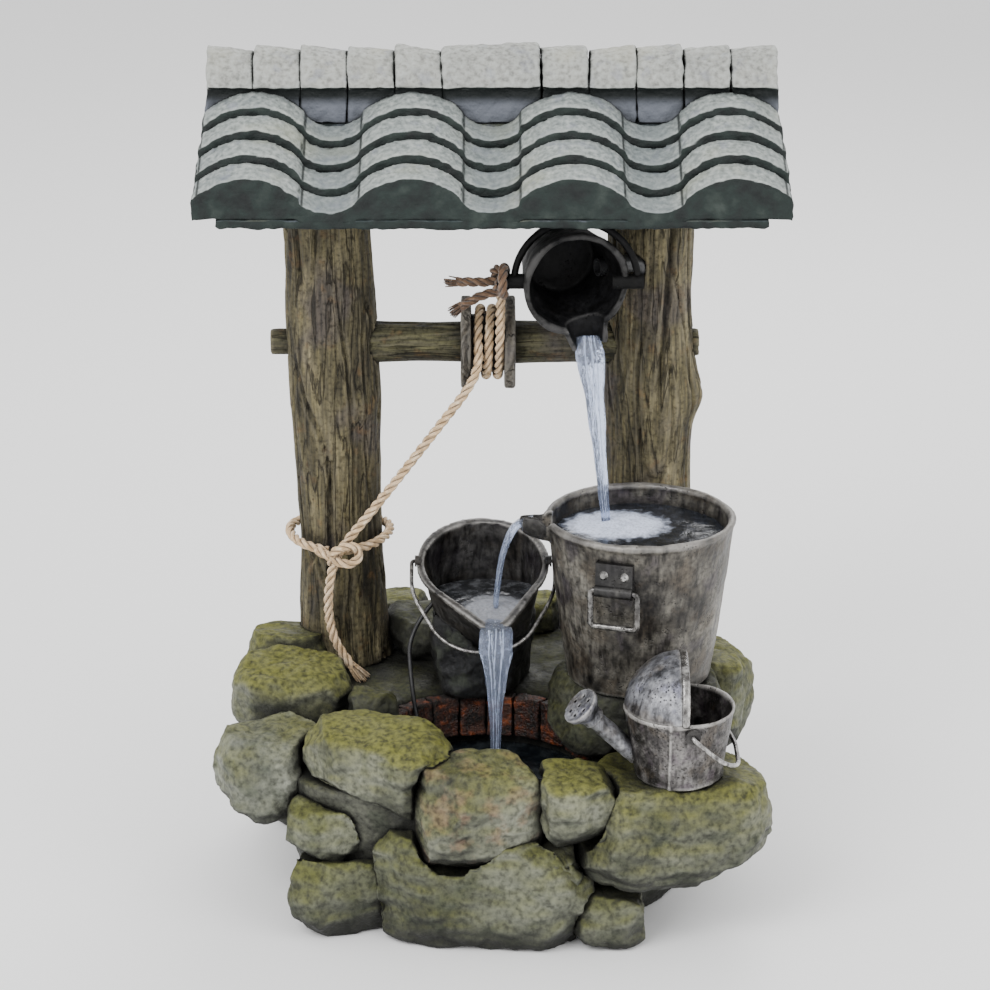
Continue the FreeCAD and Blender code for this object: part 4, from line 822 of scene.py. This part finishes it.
# vessels: cast metal with soft dents, and an upright seam on the can
vesselShape = {"dent": 0.03, "dentDepth": 0.0011, "pit": 0.007, "pitDepth": 0.00028,
               "seamX": 0.124, "seamWidth": 0.0013, "seamDepth": 0.0011, "seamFacing": -0.3}
# the spout outside the bucket's wall becomes a rounded cast nose, its near wall curled up
noseShape = {"axis": Vector((0.107, -0.031)), "from": 0.0700, "above": 0.25, "swell": 0.0018, "rounds": 26,
             "hood": 0.008, "nearY": -0.027, "highZ": 0.266, "blend": 0.006, "rise": 0.010,
             "margin": 0.001, "paintX": 0.05}


def onNose(place, margin=0.0):
    s = noseShape
    return place.z > s["above"] and (place.xy - s["axis"]).length > s["from"] + margin


def softNose(solid, i):
    s = noseShape
    points = solid.data.vertices
    for point in points:
        out = unit(((point.co.xy - s["axis"]).length - s["from"]) / s["blend"])
        near = unit((s["nearY"] - point.co.y) / s["blend"])
        point.co.z += s["hood"] * out * near * unit((point.co.z - s["highZ"]) / s["rise"])
    picked = [onNose(point.co) for point in points]
    for point, chosen in zip(points, picked):
        if chosen:
            point.co += s["swell"] * point.normal
    inEdit(solid, "vertices_smooth", {"factor": 0.5, "repeat": s["rounds"]}, "VERT", picked)


def dentDepth(point, normal):
    s = vesselShape
    return s["dentDepth"] * ripple(point, s["dent"], 6.0) + s["pitDepth"] * ripple(point, s["pit"], 1.1)


def seamDepth(point, normal):
    s = vesselShape
    away = (point.x - s["seamX"]) / s["seamWidth"]
    seam = s["seamDepth"] * math.exp(-away * away) if normal.y < s["seamFacing"] else 0.0
    return dentDepth(point, normal) + seam


for node, name, voxel, finish, slotName, depth, shape in (
        ("tall_bucket", "tallPail", 0.0014, "pewter", "pewter", dentDepth, softNose),
        ("scuttle", "scuttlePan", 0.0013, "panPewter", "pewter", dentDepth, None),
        ("upper_pot", "upperPot", 0.0013, "blackIron", "black_iron", dentDepth, None),
        ("can_body", "canBody", 0.0011, "canPewter", "pewter", seamDepth, None),
        ("can_hood", "canHood", 0.0009, "paleTin", "pewter", dentDepth, None),
        ("can_band", "canBand", 0.0009, "brightWire", "pewter", dentDepth, None),
        ("can_spout", "canSpout", 0.0009, "paleTin", "pewter", dentDepth, None),
        ("can_rose", "canRose", 0.0007, "paleTin", "pewter", dentDepth, None)):
    piece = copyNode(node, name, voxel, shape)
    rough(piece, depth)
    dress(piece, metals[finish], "well", slotName, node)
    if shape is softNose:
        piece.data.materials.append(metals["darkPewter"])
        for face in piece.data.polygons:
            nose = onNose(face.center, noseShape["margin"])
            face.material_index = int(nose and face.center.x < noseShape["paintX"])
print("vessels done")

# these keep their CAD mesh
keptPieces = [
    (blackRubber, ("cable_grommet", "pump_feet")),
    (hoseFinish, ("riser_hose",)),
    (lampLens, ("lamp_lenses",)),
    (pumpPlastic, ("lamp_bodies", "pump_housing", "pump_cover", "pump_strainer", "pump_impeller",
                   "pump_flow_dial")),
    (metals["blackRod"], ("pot_saddle", "pot_bail", "pot_ears")),
    (metals["darkPewter"], ("bucket_handle_bracket", "scuttle_ears", "can_ears")),
    (metals["brightWire"], ("bucket_handle", "bucket_rivets", "scuttle_bail", "can_bail")),
]
for material, kept in keptPieces:
    for node in kept:
        for place in nodes[node].material_slots:
            place.material = material


# ropes: the route's own spline, three strands laid round it
def readRoute(name, points, fineness):
    curve = bpy.data.curves.new(name, "CURVE")
    curve.dimensions = "3D"
    curve.resolution_u = fineness
    spline = curve.splines.new("NURBS")
    spline.points.add(len(points) - 1)
    for place, point in zip(spline.points, points):
        place.co = (*(0.001 * c for c in point), 1.0)
    spline.order_u = 3
    spline.use_endpoint_u = True
    carrier = bpy.data.objects.new(name, curve)
    line = bpy.data.meshes.new_from_object(carrier)
    route = [vertex.co.copy() for vertex in line.vertices]
    bpy.data.objects.remove(carrier)
    bpy.data.curves.remove(curve)
    bpy.data.meshes.remove(line)
    kept = route[:1]
    for point in route[1:]:
        if (point - kept[-1]).length > 0.0009:
            kept.append(point)
    return kept


def layStrands(name, route, radius, lay, strands, sides, taper=0.0):
    side = (route[1] - route[0]).orthogonal().normalized()
    verts, faces, spots = [], [], []
    travel, rows = 0.0, []
    for i, point in enumerate(route):
        ahead = (route[min(i + 1, len(route) - 1)] - route[max(i - 1, 0)]).normalized()
        side = (side - ahead * side.dot(ahead)).normalized()
        travel += (point - route[i - 1]).length if i else 0.0
        rows.append((point, side, ahead.cross(side), travel))
    thick = radius * (0.5 if strands > 1 else 1.0)
    out = radius - thick
    for k in range(strands):
        first = len(verts)
        for point, side, up, travel in rows:
            turn = 2.0 * math.pi * (travel / lay + k / strands)
            shrink = 1.0 - taper * travel / rows[-1][3]
            middle = point + (side * math.cos(turn) + up * math.sin(turn)) * out * shrink
            for j in range(sides):
                angle = 2.0 * math.pi * j / sides + turn
                verts.append(middle + (side * math.cos(angle) + up * math.sin(angle)) * thick * shrink)
        for i in range(len(rows) - 1):
            low, high = rows[i][3] / lay, rows[i + 1][3] / lay
            for j in range(sides):
                a, b = first + i * sides + j, first + i * sides + (j + 1) % sides
                faces.append((a, b, b + sides, a + sides))
                left, right = j / sides, (j + 1) / sides
                spots.extend(((left, low), (right, low), (right, high), (left, high)))
        last = first + (len(rows) - 1) * sides
        faces.append(tuple(reversed(range(first, first + sides))))
        faces.append(tuple(range(last, last + sides)))
        spots.extend([(0.5, 0.0)] * (2 * sides))
    mesh = bpy.data.meshes.new(name)
    mesh.from_pydata(verts, [], faces)
    layer = mesh.uv_layers.new(name="lay")
    for place, spot in zip(layer.data, spots):
        place.uv = spot
    mesh.polygons.foreach_set("use_smooth", [True] * len(mesh.polygons))
    piece = bpy.data.objects.new(name, mesh)
    scene.collection.objects.link(piece)
    inEdit(piece, "normals_make_consistent", {"inside": False})
    return piece


# the winding's measures are in mm and degrees
ropeShape = {"radius": 0.0037, "lay": 0.0235, "strands": 3, "sides": 8, "fineness": 40, "windRadius": 25.35,
             "pitch": 8.6, "windStart": 201.5, "startX": 5.45, "axleY": 75.0, "axleZ": 384.0}
fibreShape = {"radius": 0.00075, "lay": 0.02, "sides": 5, "taper": 0.45, "fineness": 6, "back": 3.0,
              "bundle": 2.6}


def windPoint(turn):
    r = ropeShape
    angle = math.radians(turn)
    return (r["startX"] - r["pitch"] * (turn - r["windStart"]) / 360.0,
            r["axleY"] + r["windRadius"] * math.cos(angle), r["axleZ"] + r["windRadius"] * math.sin(angle))


def layRope(name, points, material, *replaced):
    r = ropeShape
    route = readRoute(name + "Route", points, r["fineness"])
    piece = layStrands(name, route, r["radius"], r["lay"], r["strands"], r["sides"])
    dress(piece, material, "well", "rope", *replaced)
    return piece, route


def spread(name, tip, way, length, count, width, seed, material):
    f = fibreShape
    rng = random.Random(seed)
    way = Vector(way).normalized()
    side = way.orthogonal().normalized()
    fibres = []
    for i in range(count):
        angle = rng.uniform(0.0, 2.0 * math.pi)
        out = (side * math.cos(angle) + way.cross(side) * math.sin(angle)) * rng.uniform(0.15, 1.0)
        start = Vector(tip) - way * f["back"] + out * f["bundle"]
        end = Vector(tip) + way * length * rng.uniform(0.75, 1.1) + out * width
        middle = 0.5 * (start + end) + out * 0.5
        route = readRoute(name + "Fibre", [start, middle, end], f["fineness"])
        fibres.append(layStrands(name + "Fibre", route, f["radius"], f["lay"], 1, f["sides"], f["taper"]))
    joinAll(fibres)
    fibres[0].name = fibres[0].data.name = name
    dress(fibres[0], material, "well", "rope")
    return fibres[0]


# all routes are in mm
ropePoints = [(6.45, 27.9, 449.0), (6.1, 35.0, 427.0)]
ropePoints += [windPoint(turn) for turn in range(194, 850, 30)]
ropePoints += [(-10.6, 50.5, 393.5), (-9.4, 44.5, 378.5), (-14.2, 42.1, 361.8), (-41.0, 38.7, 327.2),
               (-87.0, 32.9, 267.9), (-114.5, 29.6, 235.0), (-121.5, 30.1, 213.0), (-123.5, 30.5, 187.0),
               (-120.0, 30.5, 166.0), (-113.0, 30.0, 151.5), (-105.0, 28.5, 141.0)]
wellRope, wellRoute = layRope("wellRope", ropePoints, strawRope, "well_rope")
tailFray = spread("tailFray", ropePoints[-1], (0.62, -0.12, -0.72), 13.0, 44, 6.5, 3, strawRope)

postLoopShape = {"x": -115.5, "y": 75.0, "z": 233.0, "reach": 38.6, "lift": 4.0, "drop": 1.0}
postLoopPoints = []
for turn in range(-86, 269, 23):
    s, across, back = postLoopShape, math.cos(math.radians(turn)), math.sin(math.radians(turn))
    lift = s["lift"] * across ** 2 - s["drop"]
    postLoopPoints.append((s["x"] + s["reach"] * across, s["y"] + s["reach"] * back, s["z"] + lift))
postLoop, postRoute = layRope("postLoop", postLoopPoints, strawRope, "rope_post_loop")

hitchPoints = [(-131.0, 34.0, 234.0), (-120.0, 26.5, 231.0), (-110.0, 22.0, 226.5), (-100.5, 23.0, 228.5),
               (-98.5, 26.0, 236.0), (-104.5, 22.5, 242.0), (-115.0, 23.5, 238.5), (-122.0, 27.5, 229.5),
               (-118.0, 31.0, 222.0)]
hitchKnot = layRope("hitchKnot", hitchPoints, strawRope)[0]

tieLoopShape = {"x": 8.5, "y": 10.0, "z": 449.0, "reach": 9.9, "slant": 1.2}
tieLoopPoints = []
for turn in range(12, 349, 28):
    s, across, up = tieLoopShape, math.cos(math.radians(turn)), math.sin(math.radians(turn))
    y, z = s["y"] + s["reach"] * across, s["z"] + s["reach"] * up
    tieLoopPoints.append((s["x"] + s["slant"] * across, y, z))
tieLoop, tieRoute = layRope("tieLoop", tieLoopPoints, tiedRope, "rope_tie_loop")

# each end's route and the way its fibres point
tieEndRoutes = (
    (((8.0, 27.0, 445.5), (-2.0, 26.5, 443.5), (-14.0, 25.5, 444.0), (-26.0, 24.0, 444.5)),
     (-1.0, -0.1, 0.1)),
    (((7.0, 27.5, 437.0), (-1.0, 27.0, 435.5), (-12.0, 26.0, 432.0), (-23.5, 24.0, 425.5)),
     (-0.8, -0.1, -0.6)),
)
tieEnds = []
for i, (points, way) in enumerate(tieEndRoutes, 1):
    end = layRope("tieEnd%d" % i, points, tiedRope, "rope_tie_ends")[0]
    tieEnds += [end, spread("tieFray%d" % i, points[-1], way, 8.0, 30, 4.6, 6 + i, tiedRope)]
knotPoints = [(9.5, 20.5, 452.0), (4.0, 24.5, 455.0), (0.5, 30.0, 450.0), (4.5, 34.5, 444.0),
              (11.0, 32.5, 441.0), (12.5, 26.5, 446.0), (8.0, 21.5, 447.0), (2.0, 23.0, 440.0),
              (6.0, 30.0, 436.0)]
tieKnot = layRope("tieKnot", knotPoints, tiedRope)[0]

leadShape = {"radius": 0.0017, "lay": 0.02, "sides": 14, "fineness": 24}
leadPoints = [(-40.0, 15.0, 204.0), (-62.5, 8.0, 181.0), (-60.0, -18.0, 150.0), (-55.0, -26.0, 118.0),
              (-46.0, -37.0, 103.0), (-46.0, -37.0, 85.0)]
leadRoute = readRoute("leadRoute", leadPoints, leadShape["fineness"])
lampLead = layStrands("lampLead", leadRoute, leadShape["radius"], leadShape["lay"], 1, leadShape["sides"])
dress(lampLead, leadSheath, "well", "black_rubber", "lamp_lead")

for label, route in (
        ("rope", wellRoute), ("post loop", postRoute), ("tie loop", tieRoute), ("lead", leadRoute)):
    print("%s: %.4f m" % (label, sum((b - a).length for a, b in zip(route, route[1:]))))
print("ropes laid")


# water: clear falling sheets with white threads, and level tops that meet the walls
def waterFinish(name, colour):
    material, shader, place = newMaterial(name)
    streaks = cloud(stretched(place, (1.0, 1.0, 0.10)), 380.0, 4.0)
    wire(shader, (*colour, 1.0), 0.04, streaks, 0.002, 0.9)
    shader.inputs["Transmission Weight"].default_value = 0.9
    shader.inputs["IOR"].default_value = 1.33
    return material


def frothFinish(name):
    material, shader, place = newMaterial(name)
    spots = mottle(place, 120.0)
    base = ramp(spots["Middle"], (0.3, (0.70, 0.76, 0.86)), (0.6, (0.95, 0.97, 1.0)))
    wire(shader, base, 0.35, spots["Fine"], 0.001, 0.5)
    return material


def poolFinish(name, look):
    material, shader, place = newMaterial(name)
    spots = mottle(place, 30.0)
    base = mix(band(spots["Middle"], 0.4, 0.7), look["deep"], look["shallow"])
    spot = tuple(-0.001 * c for c in look["spot"])
    moved = put("Mapping", {"Vector": place, "Location": spot}).outputs[0]
    flat = stretched(moved, (1.0, look["stretch"], 1.0))
    away = put("VectorMath", {0: flat}, operation="LENGTH").outputs["Value"]
    jitter = calc("MULTIPLY_ADD", spots["Middle"], 0.6 * look["reach"], away)
    froth = band(jitter, 0.95 * look["reach"], 1.35 * look["reach"], 1.0, 0.0)
    base = tint(base, froth, band(spots["Fine"], 0.25, 0.6, 0.6, 1.0), look["foam"])
    gloss = band(froth, 0.0, 1.0, 0.05, 0.6)
    wire(shader, base, gloss, mix(0.4, spots["Middle"], spots["Fine"]), 0.002, 0.4)
    return material


streamFinish = waterFinish("fallingWater", (0.66, 0.75, 0.98))
frothWhite = frothFinish("whiteFroth")
fallShape = {"sides": 28, "fineness": 14, "fold": 0.20, "folds": 45.0, "threads": 5, "threadSides": 6,
             "threadLay": 0.50, "threadReach": 0.88, "threadThin": 0.085}
# x, y, z and half width in mm along each fall, and the share of its width that each axis keeps
streams = {
    "potStream": {"flat": (1.0, 0.42, 0.42), "points": [
        (69.5, 16.0, 406.0, 8.5), (70.0, 12.5, 399.0, 10.0), (72.0, 7.0, 384.0, 9.0), (75.5, 1.5, 350.0, 6.6),
        (79.5, -3.0, 310.0, 4.6), (83.0, -6.0, 272.0, 3.4)]},
    "pailStream": {"flat": (0.6, 1.0, 0.42), "points": [
        (30.0, -27.5, 281.5, 6.0), (20.0, -27.0, 280.5, 5.6), (11.0, -24.0, 266.0, 4.6),
        (5.0, -20.0, 240.0, 3.8), (2.5, -17.0, 207.0, 3.4)]},
    "scuttleStream": {"flat": (1.0, 0.40, 0.36), "points": [
        (1.5, -44.0, 207.0, 9.0), (2.6, -58.0, 210.5, 11.5), (3.0, -65.0, 203.0, 12.2),
        (3.0, -69.0, 176.0, 7.4), (2.5, -70.5, 140.0, 4.4), (2.5, -71.0, 88.0, 3.4)]},
}


def shapeFall(piece, route, sides, widths, flat):
    count = len(route)
    loops = len(piece.data.vertices) // (count * sides)
    for loop in range(loops):
        for i in range(count):
            share = i / (count - 1) * (len(widths) - 1)
            k = min(int(share), len(widths) - 2)
            wide = widths[k] + (widths[k + 1] - widths[k]) * (share - k)
            for j in range(sides):
                vertex = piece.data.vertices[(loop * count + i) * sides + j]
                out = (vertex.co - route[i]) * wide
                across = 2.0 * math.cos(2.0 * math.pi * j / sides)
                crease = noise.noise(Vector((across, route[i].z * fallShape["folds"], loop + 1.0)))
                fold = 1.0 + fallShape["fold"] * crease
                vertex.co = route[i] + Vector([a * b for a, b in zip(out, flat)]) * fold
    piece.data.update()


for name, fall in streams.items():
    f = fallShape
    route = readRoute(name + "Route", [p[:3] for p in fall["points"]], f["fineness"])
    widths = [p[3] for p in fall["points"]]
    sheet = layStrands(name, route, 0.001, 1.0, 1, f["sides"])
    shapeFall(sheet, route, f["sides"], widths, fall["flat"])
    dress(sheet, streamFinish, "well", "lens")
    threads = layStrands(name + "Threads", route, 0.001, f["threadLay"], f["threads"], f["threadSides"])
    shapeFall(threads, route, f["threadSides"], [f["threadReach"] * wide for wide in widths], fall["flat"])
    # each thread is thinned round its own middle
    for start in range(0, len(threads.data.vertices), f["threadSides"]):
        ring = threads.data.vertices[start:start + f["threadSides"]]
        heart = middleOf(ring)
        for vertex in ring:
            vertex.co = heart + f["threadThin"] * (vertex.co - heart)
    dress(threads, frothWhite, "well", "lens")

waterTops = {
    "pailWater": {
        "middle": (107.0, -31.0, 272.0), "walls": ["tall_bucket"], "most": 0.066,
        "spot": (90.0, -14.0, 272.0), "reach": 0.041, "stretch": 1.25, "deep": (0.008, 0.010, 0.014),
        "shallow": (0.03, 0.034, 0.045), "foam": (0.74, 0.81, 1.0), "wave": 0.0012},
    "scuttleWater": {
        "middle": (-3.0, -14.0, 209.5), "walls": ["scuttle"], "most": 0.052,
        "spot": (3.0, -26.0, 209.5), "reach": 0.028, "stretch": 0.8, "deep": (0.014, 0.015, 0.017),
        "shallow": (0.08, 0.083, 0.09), "foam": (0.26, 0.27, 0.30), "wave": 0.0016},
    "poolWater": {
        "middle": (-5.0, -56.0, 89.0), "walls": ["base_casting", "pool_bricks"], "most": 0.085,
        "spot": (3.0, -71.0, 89.0), "reach": 0.016, "stretch": 1.0, "deep": (0.006, 0.008, 0.010),
        "shallow": (0.025, 0.03, 0.033), "foam": (0.45, 0.52, 0.62), "wave": 0.0012},
}
waterShape = {"rays": 180, "cells": 56, "overlap": 0.0004, "rings": 900.0, "fade": 0.03}


def wallTree(name):
    mesh = nodes[name].data
    corners, faces = [vertex.co for vertex in mesh.vertices], [face.vertices for face in mesh.polygons]
    return BVHTree.FromPolygons(corners, faces)


def wallAhead(walls, start, turn, most):
    way = Vector((math.cos(turn), math.sin(turn), 0.0))
    hits = [wall.ray_cast(start, way, most) for wall in walls]
    return min([hit[3] + waterShape["overlap"] for hit in hits if hit[0]] + [most])


for name, look in waterTops.items():
    rays, cells = waterShape["rays"], waterShape["cells"]
    bpy.ops.object.select_all(action="DESELECT")
    bpy.ops.mesh.primitive_grid_add(x_subdivisions=cells, y_subdivisions=cells, size=2.0,
                                    location=(0.0, 0.0, 0.0))
    piece = bpy.context.object
    piece.name = piece.data.name = name
    middle, spot = 0.001 * Vector(look["middle"]), 0.001 * Vector(look["spot"])
    walls = [wallTree(wall) for wall in look["walls"]]
    reach = [wallAhead(walls, middle, 2.0 * math.pi * i / rays, look["most"]) for i in range(rays)]
    for vertex in piece.data.vertices:
        x, y = vertex.co.x, vertex.co.y
        disc = Vector((x * math.sqrt(1.0 - 0.5 * y * y), y * math.sqrt(1.0 - 0.5 * x * x)))
        turn = math.atan2(disc.y, disc.x) / (2.0 * math.pi) * rays
        low = math.floor(turn)
        past = turn - low
        out = reach[low % rays] * (1.0 - past) + reach[(low + 1) % rays] * past
        place = middle + Vector((disc.x, disc.y, 0.0)) * out
        away = (place - spot).length
        ring = math.sin(waterShape["rings"] * away) * math.exp(-away / waterShape["fade"])
        rise = look["wave"] * (0.6 * ring + 0.8 * ripple(place, 0.011, 5.0) + 0.5 * ripple(place, 0.004, 2.0))
        vertex.co = place + Vector((0.0, 0.0, rise * (1.0 - disc.length_squared)))
    piece.data.polygons.foreach_set("use_smooth", [True] * len(piece.data.polygons))
    dress(piece, poolFinish(name + "Finish", look), "well", "lens")
print("water poured")

# floor, light and camera
bpy.ops.object.select_all(action="DESELECT")
bpy.ops.mesh.primitive_plane_add(size=14.0, location=(0.0, 2.0, -0.0006))
floor = bpy.context.object
floor.name = "paleFloor"
floorFinish, floorShader = newMaterial("paleFloor", specular=0.1)[:2]
floorShader.inputs["Base Color"].default_value = (0.92, 0.92, 0.92, 1.0)
floorShader.inputs["Roughness"].default_value = 0.9
floor.data.materials.append(floorFinish)

world = bpy.data.worlds.new("studio")
world.use_nodes = True
backdrop = world.node_tree.nodes["Background"].inputs
backdrop[0].default_value = (1.0, 1.0, 1.0, 1.0)
backdrop[1].default_value = 1.25
scene.world = world


def stand(name, data, place, aim):
    holder = bpy.data.objects.new(name, data)
    holder.location = place
    holder.rotation_euler = (Vector(aim) - Vector(place)).to_track_quat("-Z", "Y").to_euler()
    scene.collection.objects.link(holder)
    return holder


for name, place, size, power in (
        ("keyLight", (-1.1, -1.5, 1.9), 1.3, 46.0), ("fillLight", (1.6, -1.2, 1.1), 1.6, 16.0),
        ("backLight", (0.4, 1.5, 1.8), 1.2, 24.0)):
    lamp = bpy.data.lights.new(name, "AREA")
    lamp.size = size
    lamp.energy = power
    stand(name, lamp, place, (0.0, 0.0, 0.28))

view = {"place": (0.0, -2.0673, 1.0424), "aim": (0.0, 0.0, 0.290), "lens": 109.6, "sensor": 36.0,
        "shift": 0.003}
camera = bpy.data.cameras.new("photoView")
camera.lens = view["lens"]
camera.sensor_width = view["sensor"]
camera.shift_x = view["shift"]
scene.camera = stand("photoView", camera, view["place"], view["aim"])
print("camera set")
